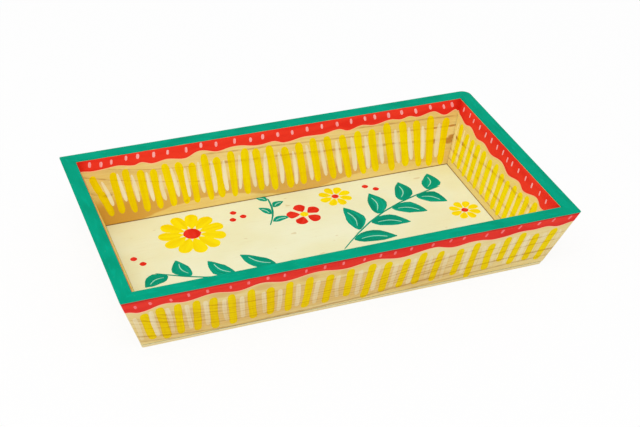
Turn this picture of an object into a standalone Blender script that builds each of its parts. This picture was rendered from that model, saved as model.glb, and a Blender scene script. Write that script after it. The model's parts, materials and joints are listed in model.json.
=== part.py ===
"""Wooden tray with four splayed boards on a thin plywood bottom, glued and pinned. Metres, +Z up.

The origin is the centre of the underside. The long boards face front (-Y) and back (+Y) and run the
full length of the tray, and the end boards fit between them.
"""

import math

import bmesh
import bpy
from mathutils import Matrix, Vector

# Overall sizes, measured over the rim
RIM_LENGTH = 0.340
RIM_WIDTH = 0.190
TRAY_HEIGHT = 0.054

# Boards and bottom panel
WALL_THICKNESS = 0.010
WALL_SPLAY = math.radians(17.35)
PANEL_THICKNESS = 0.0025
GLUE_GAP = 0.0003

# Rounded corners of the outline
SHARP_CORNER_RADIUS = 0.0012
WORN_CORNER_RADIUS = 0.0075
PANEL_WORN_CORNER_RADIUS = 0.0028
RIM_EASING = 0.0006
CORNER_SEGMENTS = 6
EASING_SEGMENTS = 2
SMOOTH_ANGLE = math.radians(30)

# Headed pins
PIN_DIAMETER = 0.0012
PIN_HEAD_DIAMETER = 0.0020
PIN_HEAD_THICKNESS = 0.0005
PIN_POINT_LENGTH = 0.0016
PIN_HOLE_CLEARANCE = 0.0003
PIN_SIDES = 12
MERGE_DISTANCE = 0.00001

CORNER_PIN_LENGTH = 0.025
CORNER_PIN_SETBACK = 0.0010
CORNER_PIN_FROM_RIM = 0.014
CORNER_PIN_FROM_PANEL = 0.014

PANEL_PIN_LENGTH = 0.010
PANEL_PIN_SETBACK = 0.0003
PANEL_PIN_FROM_END = 0.022
LONG_SIDE_PANEL_PINS = 5
END_PANEL_PINS = 3

# Stock is this much longer and wider than the board sawn from it
SAW_ALLOWANCE = 0.010
NORMAL_MATCH = 0.999

UP = Vector((0, 0, 1))
SIDES = {
    "front": Vector((0, -1, 0)),
    "back": Vector((0, 1, 0)),
    "left": Vector((-1, 0, 0)),
    "right": Vector((1, 0, 0)),
}
LONG_SIDES = ("front", "back")
ENDS = ("left", "right")
WORN_CORNER = ("back", "right")
PANEL_WORN_CORNER = ("front", "right")


def new_material(name, colour, roughness, metallic=0.0):
    """A Principled BSDF of one colour."""
    material = bpy.data.materials.new(name)
    material.use_nodes = True
    shader = material.node_tree.nodes["Principled BSDF"]
    shader.inputs["Base Color"].default_value = (*colour, 1.0)
    shader.inputs["Roughness"].default_value = roughness
    shader.inputs["Metallic"].default_value = metallic
    return material


def new_collection(name, parent):
    """A collection inside another."""
    collection = bpy.data.collections.new(name)
    parent.children.link(collection)
    return collection


def place(name, mesh, placement, collection):
    """Puts a mesh into a new object with its own location and rotation."""
    obj = bpy.data.objects.new(name, mesh)
    obj.matrix_world = placement
    collection.objects.link(obj)
    return obj


def finish_board(name, bm, placement, material, collection):
    """Makes an object of a board that was sawn at its place in the tray."""
    mesh = bpy.data.meshes.new(name)
    bm.to_mesh(mesh)
    bm.free()
    mesh.transform(placement.inverted())
    mesh.shade_smooth()
    mesh.set_sharp_from_angle(angle=SMOOTH_ANGLE)
    mesh.materials.append(material)
    return place(name, mesh, placement, collection)


def rim_half(side):
    """Half the tray's size over the rim, from its centre out to this side."""
    return RIM_WIDTH / 2 if side in LONG_SIDES else RIM_LENGTH / 2


def face_normal(side):
    """Outward normal of a side's splayed outer face, which looks slightly down."""
    return SIDES[side] * math.cos(WALL_SPLAY) - UP * math.sin(WALL_SPLAY)


def reach_at(side, height, depth=0.0):
    """How far out from the tray's centre, at a height, the plane lies that is this deep under a face."""
    flare = math.tan(WALL_SPLAY) * (TRAY_HEIGHT - height)
    return rim_half(side) - depth / math.cos(WALL_SPLAY) - flare


def point_at(side, height, depth=0.0):
    """The point of that plane in the middle of the side."""
    return SIDES[side] * reach_at(side, height, depth) + UP * height


def wall_bottom():
    """Height of the boards' lower edges, a glue line above the panel."""
    return PANEL_THICKNESS + GLUE_GAP


def saw(bm, point, normal):
    """Cuts off what lies beyond a plane, and closes the cut."""
    geometry = bm.verts[:] + bm.edges[:] + bm.faces[:]
    bmesh.ops.bisect_plane(bm, geom=geometry, plane_co=point, plane_no=normal, clear_outer=True)
    open_edges = [edge for edge in bm.edges if edge.is_boundary]
    bmesh.ops.holes_fill(bm, edges=open_edges)
    bmesh.ops.recalc_face_normals(bm, faces=bm.faces)


def stock(placement, size):
    """A box of this size, centred on a placement."""
    bm = bmesh.new()
    bmesh.ops.create_cube(bm, size=1.0, matrix=placement @ Matrix.Diagonal((*size, 1.0)))
    return bm


def bevel(bm, edges, width, segments):
    """Bevels edges with a round profile."""
    bmesh.ops.bevel(bm, geom=edges, offset=width, segments=segments, profile=0.5, affect="EDGES")


def edges_between(bm, normal_a, normal_b):
    """The edges where a face that looks along one normal meets a face that looks along the other."""
    bm.normal_update()
    found = []
    for edge in bm.edges:
        one, other = (face.normal for face in edge.link_faces)
        for a, b in ((one, other), (other, one)):
            if a.dot(normal_a) > NORMAL_MATCH and b.dot(normal_b) > NORMAL_MATCH:
                found.append(edge)
    return found


def round_corner(bm, long_side, end, radius):
    """Rounds the tray's corner between two outer faces to a radius."""
    normals = face_normal(long_side), face_normal(end)
    turn = normals[0].angle(normals[1])
    bevel(bm, edges_between(bm, *normals), radius * math.tan(turn / 2), CORNER_SEGMENTS)


def corner_radius(long_side, end):
    """Radius of the outline at a corner of the tray, inside the end of the long board."""
    if (long_side, end) == WORN_CORNER:
        return min(WORN_CORNER_RADIUS, WALL_THICKNESS - RIM_EASING)
    return SHARP_CORNER_RADIUS


def panel_corner_radius(long_side, end):
    """Radius of the panel's corner: the outline's own, or the chafed one."""
    if (long_side, end) == PANEL_WORN_CORNER:
        return PANEL_WORN_CORNER_RADIUS
    return corner_radius(long_side, end)


def ease_rim(bm, sides):
    """Takes the sharp arris off the rim along these sides' outer faces."""
    bm.normal_update()
    top = max(bm.faces, key=lambda face: face.normal.dot(UP))
    outer = []
    for edge in top.edges:
        middle = (edge.verts[0].co + edge.verts[1].co) / 2
        if any(middle.dot(SIDES[side]) > rim_half(side) - WALL_THICKNESS / 2 for side in sides):
            outer.append(edge)
    bevel(bm, outer, RIM_EASING, EASING_SEGMENTS)


def board_placement(side):
    """Middle of a board: its X along the tray's side, its Y outwards and its Z up its slope."""
    outward = face_normal(side)
    along = SIDES[side].cross(UP)
    rotation = Matrix((along, outward, along.cross(outward))).transposed().to_4x4()
    middle_height = (TRAY_HEIGHT + wall_bottom()) / 2
    return Matrix.Translation(point_at(side, middle_height, WALL_THICKNESS / 2)) @ rotation


def sawn_board(side, length):
    """Board stock on its slope, sawn level at the rim and at the panel."""
    slope_length = (TRAY_HEIGHT - wall_bottom()) / math.cos(WALL_SPLAY)
    width = slope_length + WALL_THICKNESS * math.tan(WALL_SPLAY) + SAW_ALLOWANCE
    bm = stock(board_placement(side), (length + SAW_ALLOWANCE, WALL_THICKNESS, width))
    saw(bm, UP * TRAY_HEIGHT, UP)
    saw(bm, UP * wall_bottom(), -UP)
    return bm


def long_board(side):
    """Front or back board, its ends sawn flush with the end boards' outer faces."""
    bm = sawn_board(side, RIM_LENGTH)
    for end in ENDS:
        saw(bm, point_at(end, TRAY_HEIGHT), face_normal(end))
    for end in ENDS:
        round_corner(bm, side, end, corner_radius(side, end))
    ease_rim(bm, (side, *ENDS))
    return bm


def end_board(side):
    """Left or right board, its ends sawn to butt against the insides of the long boards."""
    bm = sawn_board(side, RIM_WIDTH)
    for long_side in LONG_SIDES:
        joint = point_at(long_side, TRAY_HEIGHT, WALL_THICKNESS + GLUE_GAP)
        saw(bm, joint, face_normal(long_side))
    ease_rim(bm, (side,))
    return bm


def bottom_panel():
    """Plywood panel whose edges carry on the slope of the boards' outer faces."""
    middle = Matrix.Translation(UP * PANEL_THICKNESS / 2)
    bm = stock(middle, (RIM_LENGTH, RIM_WIDTH, PANEL_THICKNESS))
    for side in SIDES:
        saw(bm, point_at(side, TRAY_HEIGHT), face_normal(side))
    for long_side in LONG_SIDES:
        for end in ENDS:
            round_corner(bm, long_side, end, panel_corner_radius(long_side, end))
    return bm


def turned_mesh(name, profile):
    """Mesh turned about Z from (radius, height) points that run from the axis down and back to it."""
    outline = bpy.data.meshes.new(f"{name}_outline")
    points = [(radius, 0, height) for radius, height in profile]
    outline.from_pydata(points, [(i, i + 1) for i in range(len(points) - 1)], [])
    blank = place(f"{name}_blank", outline, Matrix.Identity(4), bpy.context.scene.collection)
    screw = blank.modifiers.new("turning", "SCREW")
    screw.steps = PIN_SIDES
    screw.render_steps = PIN_SIDES
    screw.use_merge_vertices = True
    screw.merge_threshold = MERGE_DISTANCE
    depsgraph = bpy.context.evaluated_depsgraph_get()
    mesh = bpy.data.meshes.new_from_object(blank.evaluated_get(depsgraph))
    mesh.name = name
    mesh.shade_smooth()
    mesh.set_sharp_from_angle(angle=SMOOTH_ANGLE)
    bpy.data.objects.remove(blank)
    return mesh


def pin_profile(length):
    """Headed pin, its head's top at the origin and its point straight below."""
    shank = PIN_DIAMETER / 2
    head = PIN_HEAD_DIAMETER / 2
    return [
        (0, 0),
        (head, 0),
        (head, -PIN_HEAD_THICKNESS),
        (shank, -PIN_HEAD_THICKNESS),
        (shank, PIN_POINT_LENGTH - length),
        (0, -length),
    ]


def hole_profile(length, setback):
    """Hole for a headed pin, wider all round by the clearance, its mouth clear above the surface."""
    shank = PIN_DIAMETER / 2 + PIN_HOLE_CLEARANCE
    head = PIN_HEAD_DIAMETER / 2 + PIN_HOLE_CLEARANCE
    seat = -PIN_HEAD_THICKNESS - PIN_HOLE_CLEARANCE
    mouth = setback + PIN_HEAD_DIAMETER
    bottom = -length - PIN_HOLE_CLEARANCE
    return [(0, mouth), (head, mouth), (head, seat), (shank, seat), (shank, bottom), (0, bottom)]


def aimed(head, outward):
    """Placement of a pin whose head is at a point and looks outward."""
    rotation = outward.to_track_quat("Z", "Y").to_matrix().to_4x4()
    return Matrix.Translation(head) @ rotation


def corner_pin_placements(long_side, end):
    """Pins that go square through a long board and into the middle of an end board, lower one first."""
    tip_depth = CORNER_PIN_SETBACK + CORNER_PIN_LENGTH
    middle_depth = (tip_depth + WALL_THICKNESS + GLUE_GAP) / 2
    outward = face_normal(long_side)
    placements = []
    for height in (wall_bottom() + CORNER_PIN_FROM_PANEL, TRAY_HEIGHT - CORNER_PIN_FROM_RIM):
        across = SIDES[end] * reach_at(end, height, WALL_THICKNESS / 2)
        middle = point_at(long_side, height, middle_depth) + across
        head = middle + outward * (middle_depth - CORNER_PIN_SETBACK)
        placements.append(aimed(head, outward))
    return placements


def panel_pin_placements(side):
    """Pins that go straight up through the panel and into the middle of a board."""
    middle_height = (wall_bottom() + PANEL_PIN_SETBACK + PANEL_PIN_LENGTH) / 2
    across = SIDES[side] * reach_at(side, middle_height, WALL_THICKNESS / 2)
    along = SIDES[side].cross(UP)
    if side in LONG_SIDES:
        board_end = reach_at(ENDS[0], wall_bottom())
        count = LONG_SIDE_PANEL_PINS
    else:
        board_end = reach_at(LONG_SIDES[0], wall_bottom(), WALL_THICKNESS)
        count = END_PANEL_PINS
    half_run = board_end - PANEL_PIN_FROM_END
    placements = []
    for index in range(count):
        offset = half_run * (2 * index / (count - 1) - 1)
        head = across + along * offset + UP * PANEL_PIN_SETBACK
        placements.append(aimed(head, -UP))
    return placements


class Pinning:
    """Pins of one length, with the holes that they are driven into."""

    def __init__(self, kind, length, setback, steel, tray, cutters):
        self.tray = tray
        self.cutters = cutters
        self.pin = turned_mesh(f"{kind}_pin", pin_profile(length))
        self.pin.materials.append(steel)
        self.hole = turned_mesh(f"{kind}_hole", hole_profile(length, setback))

    def drive(self, group, placements, pieces):
        """Adds a group's pins, and their holes through these pieces."""
        holes = new_collection(f"{group}_holes", self.cutters)
        for index, placement in enumerate(placements, start=1):
            place(f"{group}_{index}", self.pin, placement, self.tray)
            cutter = place(f"{group}_{index}_hole", self.hole, placement, holes)
            cutter.display_type = "WIRE"
            cutter.hide_render = True
        for piece in pieces:
            modifier = piece.modifiers.new(holes.name, "BOOLEAN")
            modifier.operation = "DIFFERENCE"
            modifier.solver = "EXACT"
            modifier.operand_type = "COLLECTION"
            modifier.collection = holes


def main():
    """Builds the tray."""
    for obj in list(bpy.data.objects):
        bpy.data.objects.remove(obj)
    tray = new_collection("wooden_tray", bpy.context.scene.collection)
    cutters = new_collection("cutters", bpy.context.scene.collection)
    pine = new_material("pine", (0.74, 0.55, 0.25), 0.55)
    plywood = new_material("plywood", (0.84, 0.76, 0.50), 0.60)
    steel = new_material("pin_steel", (0.55, 0.55, 0.56), 0.35, 1.0)

    boards = {}
    for side in SIDES:
        bm = long_board(side) if side in LONG_SIDES else end_board(side)
        boards[side] = finish_board(f"{side}_wall", bm, board_placement(side), pine, tray)
    panel = finish_board("bottom_panel", bottom_panel(), Matrix.Identity(4), plywood, tray)

    corner = Pinning("corner", CORNER_PIN_LENGTH, CORNER_PIN_SETBACK, steel, tray, cutters)
    for long_side in LONG_SIDES:
        for end in ENDS:
            placements = corner_pin_placements(long_side, end)
            corner.drive(f"{long_side}_{end}_brad", placements, (boards[long_side], boards[end]))
    bottom = Pinning("panel", PANEL_PIN_LENGTH, PANEL_PIN_SETBACK, steel, tray, cutters)
    for side, board in boards.items():
        bottom.drive(f"{side}_panel_brad", panel_pin_placements(side), (board, panel))


main()
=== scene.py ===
"""Looks of a hand-painted wooden tray: four splayed pine boards on a thin plywood bottom.

Metres, +Z up, the origin at the centre of the underside. A painted face has flat coordinates of its own, as
seen by someone who looks straight at it: `at` runs to the right from the middle of the board, and `below` is
the height under the rim. What the brush did by hand is written in millimetres.
"""

import json
import logging
import math
from dataclasses import dataclass, field, replace
from enum import Enum
from typing import Callable, Iterable, Optional, Union

import bmesh
import bpy
import numpy as np
from mathutils import Matrix, Vector


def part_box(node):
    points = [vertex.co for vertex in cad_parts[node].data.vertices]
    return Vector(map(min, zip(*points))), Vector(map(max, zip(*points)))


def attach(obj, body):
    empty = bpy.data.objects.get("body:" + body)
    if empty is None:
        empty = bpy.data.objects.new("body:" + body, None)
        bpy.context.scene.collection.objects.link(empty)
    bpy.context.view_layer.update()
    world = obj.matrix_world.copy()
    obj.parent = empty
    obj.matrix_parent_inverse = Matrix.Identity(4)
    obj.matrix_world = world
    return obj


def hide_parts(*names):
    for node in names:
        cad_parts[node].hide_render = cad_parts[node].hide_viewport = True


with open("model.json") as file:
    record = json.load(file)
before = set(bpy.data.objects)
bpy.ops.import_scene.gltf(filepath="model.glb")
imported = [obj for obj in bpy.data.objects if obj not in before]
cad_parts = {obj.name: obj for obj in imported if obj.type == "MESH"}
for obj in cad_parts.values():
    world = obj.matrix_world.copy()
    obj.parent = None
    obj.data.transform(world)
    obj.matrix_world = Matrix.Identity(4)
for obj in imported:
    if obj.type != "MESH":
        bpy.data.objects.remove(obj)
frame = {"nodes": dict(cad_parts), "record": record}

LOG = logging.getLogger("tray")
BODY = "root"
MM = 0.001
LEAST_RADIUS = 1e-6
STATION_STEP = 1.5 * MM
SMOOTH_ANGLE = math.radians(40)
BRUSH = "brush"
UP = np.array((0.0, 0.0, 1.0))
NOISE_MEAN = 0.5
# The screen's transfer curve: straight up to the knee, and an offset power curve after it
SRGB_KNEE, SRGB_SLOPE = 0.04045, 12.92
SRGB_OFFSET, SRGB_POWER = 0.055, 2.4
# Where the close stations lie next to a rectangle's corner, as parts of their stretch
CLOSE_STATIONS = (0.0, 0.03, 0.07, 0.12, 0.2, 0.32, 0.48, 0.66, 0.83, 1.0)
# How many sines make up the drift of an unsteady hand
SINES = 8

Colour = tuple[float, float, float]
Pairs = tuple[tuple[float, float], ...]
Marks = tuple[tuple[float, float, float, float], ...]
Surface = Callable[[np.ndarray, np.ndarray, np.ndarray], np.ndarray]


def srgb(red: int, green: int, blue: int) -> Colour:
    """Linear colour of a paint or wood named by its 8-bit values on a screen."""
    parts = (value / 255 for value in (red, green, blue))
    return tuple(
        ((part + SRGB_OFFSET) / (1 + SRGB_OFFSET)) ** SRGB_POWER if part > SRGB_KNEE else part / SRGB_SLOPE
        for part in parts
    )


class Side(Enum):
    """A side of the tray, by the way that it faces, counterclockwise from above."""

    FRONT = (0, -1)
    RIGHT = (1, 0)
    BACK = (0, 1)
    LEFT = (-1, 0)

    @property
    def outward(self) -> np.ndarray:
        """Level direction out of the tray."""
        return np.array((*self.value, 0.0))

    @property
    def onward(self) -> np.ndarray:
        """Level direction along the side, counterclockwise."""
        return np.array((-self.value[1], self.value[0], 0.0))

    @property
    def is_long(self) -> bool:
        """True for the front and back."""
        return self.value[0] == 0

    @property
    def title(self) -> str:
        """Lower-case name."""
        return self.name.lower()


@dataclass(frozen=True)
class TraySizes:
    """Sizes that the pieces share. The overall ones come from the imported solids.

    The boards' faces lie under the solids' faces by the paint room, so that the paint stays inside them.
    """

    half_length: float
    half_width: float
    height: float
    panel: float
    board: float = 10 * MM
    splay: float = math.radians(17.35)
    easing: float = 0.6 * MM
    sharp_corner: float = 1.2 * MM
    worn_corner: float = 7.5 * MM
    paint_room: float = 0.14 * MM
    top_arris: float = 0.5 * MM
    foot_arris: float = 0.25 * MM
    end_arris: float = 0.2 * MM
    foot_joint: float = 0.4 * MM
    corner_joint: float = 0.45 * MM

    @classmethod
    def from_frame(cls) -> "TraySizes":
        """Reads the overall sizes off the front wall and the panel."""
        low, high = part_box("front_wall")
        shaved = cls.easing * math.sin(cls.splay)
        return cls(high.x + shaved, shaved - low.y, high.z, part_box("bottom_panel")[1].z)

    @property
    def slope(self) -> float:
        """Level distance that a face moves out for each metre that it rises."""
        return math.tan(self.splay)

    @property
    def across(self) -> float:
        """Thickness of a board measured level."""
        return self.board / math.cos(self.splay)

    @property
    def skin(self) -> float:
        """Level depth of the boards' outer faces under the solids' faces."""
        return self.paint_room / math.cos(self.splay)

    @property
    def rim(self) -> float:
        """Height of the boards' upper edges, without paint."""
        return self.height - self.paint_room

    @property
    def foot(self) -> float:
        """Height of the boards' lower edges."""
        return self.panel + self.foot_joint

    def half(self, side: Side) -> float:
        """Half the tray's size over the rim, out to this side."""
        return self.half_width if side.is_long else self.half_length

    def half_along(self, side: Side) -> float:
        """Half the length of this side over the rim."""
        return self.half_length if side.is_long else self.half_width

    def flare(self, height: np.ndarray) -> np.ndarray:
        """How much closer to the middle a face is at a height than at the rim."""
        return self.slope * (self.height - height)

    def section(self, points: np.ndarray, lift: np.ndarray = 0.0) -> np.ndarray:
        """Rounds a board's arrises, given (inset, height) points on its square section."""
        low = np.array((self.skin, self.foot))
        high = np.array((self.across, self.rim))
        upper = points[..., 1:] > high.mean()
        return rounded(points, low, high, np.where(upper, self.top_arris, self.foot_arris), lift)


def rounded(
    points: np.ndarray, low: np.ndarray, high: np.ndarray, radius: np.ndarray, lift: np.ndarray = 0.0
) -> np.ndarray:
    """Rounds the corners of a rectangle, given points on its sides.

    Each point is drawn back to the core, which is the rectangle less the radius all round, and pushed out
    again by the radius, so the last stretch on each side of a corner becomes an arc.

    Args:
        points: Points on the sides, (..., 2).
        low: Lowest corner.
        high: Highest corner.
        radius: Radius of the arcs, for all points or for each, (..., 1).
        lift: How far outside the rounded outline the points end.

    Returns:
        The points on the rounded outline, (..., 2).
    """
    core = np.clip(points, low + radius, high - radius)
    away = points - core
    return core + (radius + lift) * away / np.linalg.norm(away, axis=-1, keepdims=True)


def side_stations(fine: float, coarse: int) -> tuple[np.ndarray, np.ndarray]:
    """Stations along one side of a rectangle, from its first corner up to the next, close by the corners.

    A station lies at share * half + offset from the middle of the side, whatever the half length.

    Args:
        fine: Length next to each corner that has close stations.
        coarse: Number of even steps between those stretches.

    Returns:
        The shares and the offsets.
    """
    steps = fine * np.array(CLOSE_STATIONS)
    middle = np.linspace(-1, 1, coarse + 1)[1:-1]
    share = np.concatenate((-np.ones(len(steps)), middle, np.ones(len(steps) - 1)))
    offset = np.concatenate((steps, -middle * fine, -steps[:0:-1]))
    return share, offset


def eased(where: np.ndarray, turns: Pairs) -> np.ndarray:
    """A wavy edge through its turning points, half a cosine wave from each to the next.

    Args:
        where: Places along the edge.
        turns: (place, value) of the turning points.

    Returns:
        The edge's value at each place.
    """
    at, value = np.array(turns).T
    after = np.clip(np.searchsorted(at, where), 1, len(at) - 1)
    share = np.clip((where - at[after - 1]) / (at[after] - at[after - 1]), 0, 1)
    return value[after - 1] + (value[after] - value[after - 1]) * (1 - np.cos(np.pi * share)) / 2


def waver(share: np.ndarray, random: np.random.Generator, slow: int, quick: int) -> np.ndarray:
    """An unsteady hand's drift round a closed path, a sum of sines, about -1 to 1.

    Args:
        share: Places on the path, 0 to 1.
        random: Source of the sines' phases and rates.
        slow: Fewest waves round the path.
        quick: Most waves round the path.

    Returns:
        The drift at each place.
    """
    rates = random.integers(slow, quick, SINES)
    phases = random.uniform(0, 2 * np.pi, SINES)
    return np.sin(2 * np.pi * share[..., None] * rates + phases).sum(-1) * 2 / SINES


def grid_quads(rows: int, columns: int, close_rows: bool = False, close_columns: bool = False) -> np.ndarray:
    """Quads of a grid whose points are numbered row by row.

    Args:
        rows: Number of rows.
        columns: Number of points in a row.
        close_rows: Joins the last row to the first.
        close_columns: Joins the last point of a row to its first.

    Returns:
        Point numbers, (quads, 4).
    """
    row = np.arange(rows if close_rows else rows - 1)[:, None]
    column = np.arange(columns if close_columns else columns - 1)[None, :]
    here, below = row * columns, (row + 1) % rows * columns
    beside = (column + 1) % columns
    corners = (here + column, here + beside, below + beside, below + column)
    return np.stack(corners, -1).reshape(-1, len(corners))


@dataclass
class Shell:
    """A closed surface: its points, its faces' point numbers, and where each point lies in its stroke."""

    points: np.ndarray
    faces: list[list[int]]
    brush: np.ndarray

    @classmethod
    def joined(cls, shells: Iterable["Shell"]) -> "Shell":
        """Several shells as one."""
        shells = list(shells)
        starts = np.cumsum([0] + [len(shell.points) for shell in shells]).tolist()
        faces = [[i + start for i in face] for start, shell in zip(starts, shells) for face in shell.faces]
        points = np.concatenate([shell.points for shell in shells])
        return cls(points, faces, np.concatenate([shell.brush for shell in shells]))

    def piece(self, name: str, material: bpy.types.Material, slot: str) -> bpy.types.Object:
        """Puts the surface into a mesh object that rides on the tray.

        Args:
            name: The piece's name.
            material: Its finish.
            slot: The record's material slot that the finish belongs to; not used.

        Returns:
            The object.
        """
        mesh = bpy.data.meshes.new(name)
        mesh.from_pydata(self.points.tolist(), [], self.faces)
        bm = bmesh.new()
        bm.from_mesh(mesh)
        bmesh.ops.recalc_face_normals(bm, faces=bm.faces)
        bm.to_mesh(mesh)
        bm.free()
        layer = mesh.attributes.new(BRUSH, "FLOAT_VECTOR", "POINT")
        layer.data.foreach_set("vector", self.brush.astype(np.float32).ravel())
        mesh.shade_smooth()
        mesh.set_sharp_from_angle(angle=SMOOTH_ANGLE)
        mesh.materials.append(material)
        piece = bpy.data.objects.new(name, mesh)
        bpy.context.scene.collection.objects.link(piece)
        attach(piece, BODY)
        LOG.info("%s: %d faces", name, len(mesh.polygons))
        return piece


Level = Union["Signal", float]


@dataclass(frozen=True)
class Signal:
    """A number that varies over a surface: a node's output. Arithmetic on it adds Math nodes."""

    graph: "Graph"
    socket: bpy.types.NodeSocket

    def __add__(self, other: Level) -> "Signal":
        """Sum."""
        return self.graph.math("ADD", self, other)

    def __sub__(self, other: Level) -> "Signal":
        """Difference."""
        return self.graph.math("SUBTRACT", self, other)

    def __mul__(self, other: Level) -> "Signal":
        """Product."""
        return self.graph.math("MULTIPLY", self, other)

    def __truediv__(self, other: Level) -> "Signal":
        """Quotient."""
        return self.graph.math("DIVIDE", self, other)

    def one(self, operation: str) -> "Signal":
        """A Math operation on this number alone, such as ABSOLUTE."""
        return self.graph.math(operation, self)

    def step(self, low: float, high: float) -> "Signal":
        """Smooth step from 0 at low to 1 at high, where low may be the larger."""
        node = self.graph.node("ShaderNodeMapRange", interpolation_type="SMOOTHSTEP")
        for name, value in (("Value", self), ("From Min", low), ("From Max", high)):
            self.graph.feed(node.inputs[name], value)
        return Signal(self.graph, node.outputs["Result"])


class Graph:
    """The nodes of one material, wired by short calls."""

    def __init__(self, name: str) -> None:
        """Starts a material of that name with a Principled shader."""
        self.material = bpy.data.materials.new(name)
        self.material.use_nodes = True
        self.nodes = self.material.node_tree.nodes
        self.shader = self.nodes["Principled BSDF"]

    def node(self, kind: str, **settings: object) -> bpy.types.Node:
        """Adds a node and gives it its settings."""
        node = self.nodes.new(kind)
        for name, value in settings.items():
            setattr(node, name, value)
        return node

    def feed(self, socket: bpy.types.NodeSocket, value: object) -> None:
        """Links a signal or a socket to an input, or sets the input to a constant."""
        if isinstance(value, Signal):
            value = value.socket
        if isinstance(value, bpy.types.NodeSocket):
            self.material.node_tree.links.new(value, socket)
        elif isinstance(value, tuple):
            socket.default_value = (*value, 1.0)
        else:
            socket.default_value = value

    def math(self, operation: str, *values: Level) -> Signal:
        """A Math node on one, two or three numbers."""
        node = self.node("ShaderNodeMath", operation=operation)
        for socket, value in zip(node.inputs, values):
            self.feed(socket, value)
        return Signal(self, node.outputs[0])

    def mix(self, amount: Level, start: object, end: object, blend: str = "MIX") -> bpy.types.NodeSocket:
        """Blends two colours.

        Args:
            amount: 0 for the first colour, 1 for the second.
            start: First colour, a socket or a constant.
            end: Second colour.
            blend: How the second colour goes over the first.

        Returns:
            The blended colour's socket.
        """
        node = self.node("ShaderNodeMix", data_type="RGBA", blend_type=blend, clamp_factor=True)
        self.feed(node.inputs[0], amount)
        first, second = (socket for socket in node.inputs if socket.type == "RGBA")
        self.feed(first, start)
        self.feed(second, end)
        return next(socket for socket in node.outputs if socket.type == "RGBA")

    def noise(self, x: Level, y: Level, z: Level, detail: float = 1.0) -> Signal:
        """Noise, mostly 0.3 to 0.7, whose features are about one unit long in each of the three numbers."""
        place = self.node("ShaderNodeCombineXYZ")
        for socket, value in zip(place.inputs, (x, y, z)):
            self.feed(socket, value)
        node = self.node("ShaderNodeTexNoise")
        for name, value in (("Vector", place.outputs[0]), ("Scale", 1.0), ("Detail", detail)):
            self.feed(node.inputs[name], value)
        return Signal(self, node.outputs[0])

    def split(self, vector: bpy.types.NodeSocket) -> tuple[Signal, ...]:
        """The three numbers of a vector."""
        node = self.node("ShaderNodeSeparateXYZ")
        self.feed(node.inputs[0], vector)
        return tuple(Signal(self, socket) for socket in node.outputs)

    def place(self) -> tuple[Signal, ...]:
        """X, Y and Z in the tray's frame."""
        return self.split(self.node("ShaderNodeTexCoord").outputs["Object"])

    def brush(self) -> tuple[Signal, ...]:
        """Metres along the brush stroke, -1 to 1 across it, and the stroke's own number, 0 to 1."""
        return self.split(self.node("ShaderNodeAttribute", attribute_name=BRUSH).outputs["Vector"])

    def finish(self, colour: object, roughness: Level, specular: float, relief: Signal, depth: float) -> None:
        """Completes the shader.

        Args:
            colour: Base colour.
            roughness: Roughness over the surface.
            specular: Specular level, the same all over.
            relief: Height of the fine relief, 0 to 1.
            depth: Real depth of that relief.
        """
        bump = self.node("ShaderNodeBump")
        self.feed(bump.inputs["Height"], relief)
        self.feed(bump.inputs["Distance"], depth)
        inputs = self.shader.inputs
        self.feed(inputs["Base Color"], colour)
        self.feed(inputs["Roughness"], roughness)
        self.feed(inputs["Specular IOR Level"], specular)
        self.feed(inputs["Normal"], bump.outputs[0])


@dataclass(frozen=True)
class Speckle:
    """A noise in a finish.

    `fine` is how many of its features fit into one unit of each of the three numbers that it is read at.
    Between the two levels of `counts` it rises from nothing to full.
    """

    fine: tuple[float, float, float]
    detail: float = 1.0
    counts: tuple[float, float] = (0.3, 0.7)

    def over(self, graph: Graph, *place: Level, starts: tuple[float, ...] = (0.0, 0.0, 0.0)) -> Signal:
        """The noise itself.

        Args:
            graph: The material's nodes.
            place: The three numbers.
            starts: How many features into the noise each of them begins.

        Returns:
            The noise, mostly 0.3 to 0.7.
        """
        numbers = []
        for number, fine, start in zip(place, self.fine, starts):
            number = number if fine == 1 else number * fine
            numbers.append(number + start if start else number)
        return graph.noise(*numbers, self.detail)

    def share(self, graph: Graph, *place: Level, starts: tuple[float, ...] = (0.0, 0.0, 0.0)) -> Signal:
        """How far the noise has risen between its two levels, 0 to 1."""
        return self.over(graph, *place, starts=starts).step(*self.counts)


# The pine's noises. The first four are read along a board, through it and up it.
DRIFT = Speckle((14, 30, 30))
FAINT = Speckle((16, 120, 160), counts=(0.3, 0.6))
FIBRE = Speckle((60, 1300, 1300), 2.0)
TONE = Speckle((9, 40, 45), 2.0, (0.32, 0.68))
# These two are read along a board and up it
UNSTEADY = Speckle((45, 90, 1))
PATCHES = Speckle((150, 260, 1), counts=(0.35, 0.6))
RAGGED = Speckle((40, 1, 150), 2.0)
# These two are read along the growth rings, the second once for each ring
UNEVEN = Speckle((1, 500, 1))
RING_TONE = Speckle((1.37, 900, 1), counts=(0.36, 0.6))
# How far into a noise a board starts, for each metre of its `first`, so that no two boards are alike
DRIFT_START, TONE_START, UNSTEADY_START = 1000, 700, 700
# A layer of some of these noises that no other one uses
PATCH_LAYER, RING_LAYER = 3.0, 4.0


@dataclass(frozen=True)
class Knot:
    """A small knot or resin mark in the seen face of a board: its middle, and half its length and height.

    It fades in between the two numbers of `fades`, which are squares of the distance from its middle in
    its own half sizes.
    """

    at: float
    height: float
    long: float
    high: float
    fades: tuple[float, float] = (1.3, 0.2)

    def amount(self, at: Signal, height: Signal) -> Signal:
        """How dark the mark is at a place."""
        run = (at - self.at) / self.long
        rise = (height - self.height) / self.high
        return (run * run + rise * rise).step(*self.fades)


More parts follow.
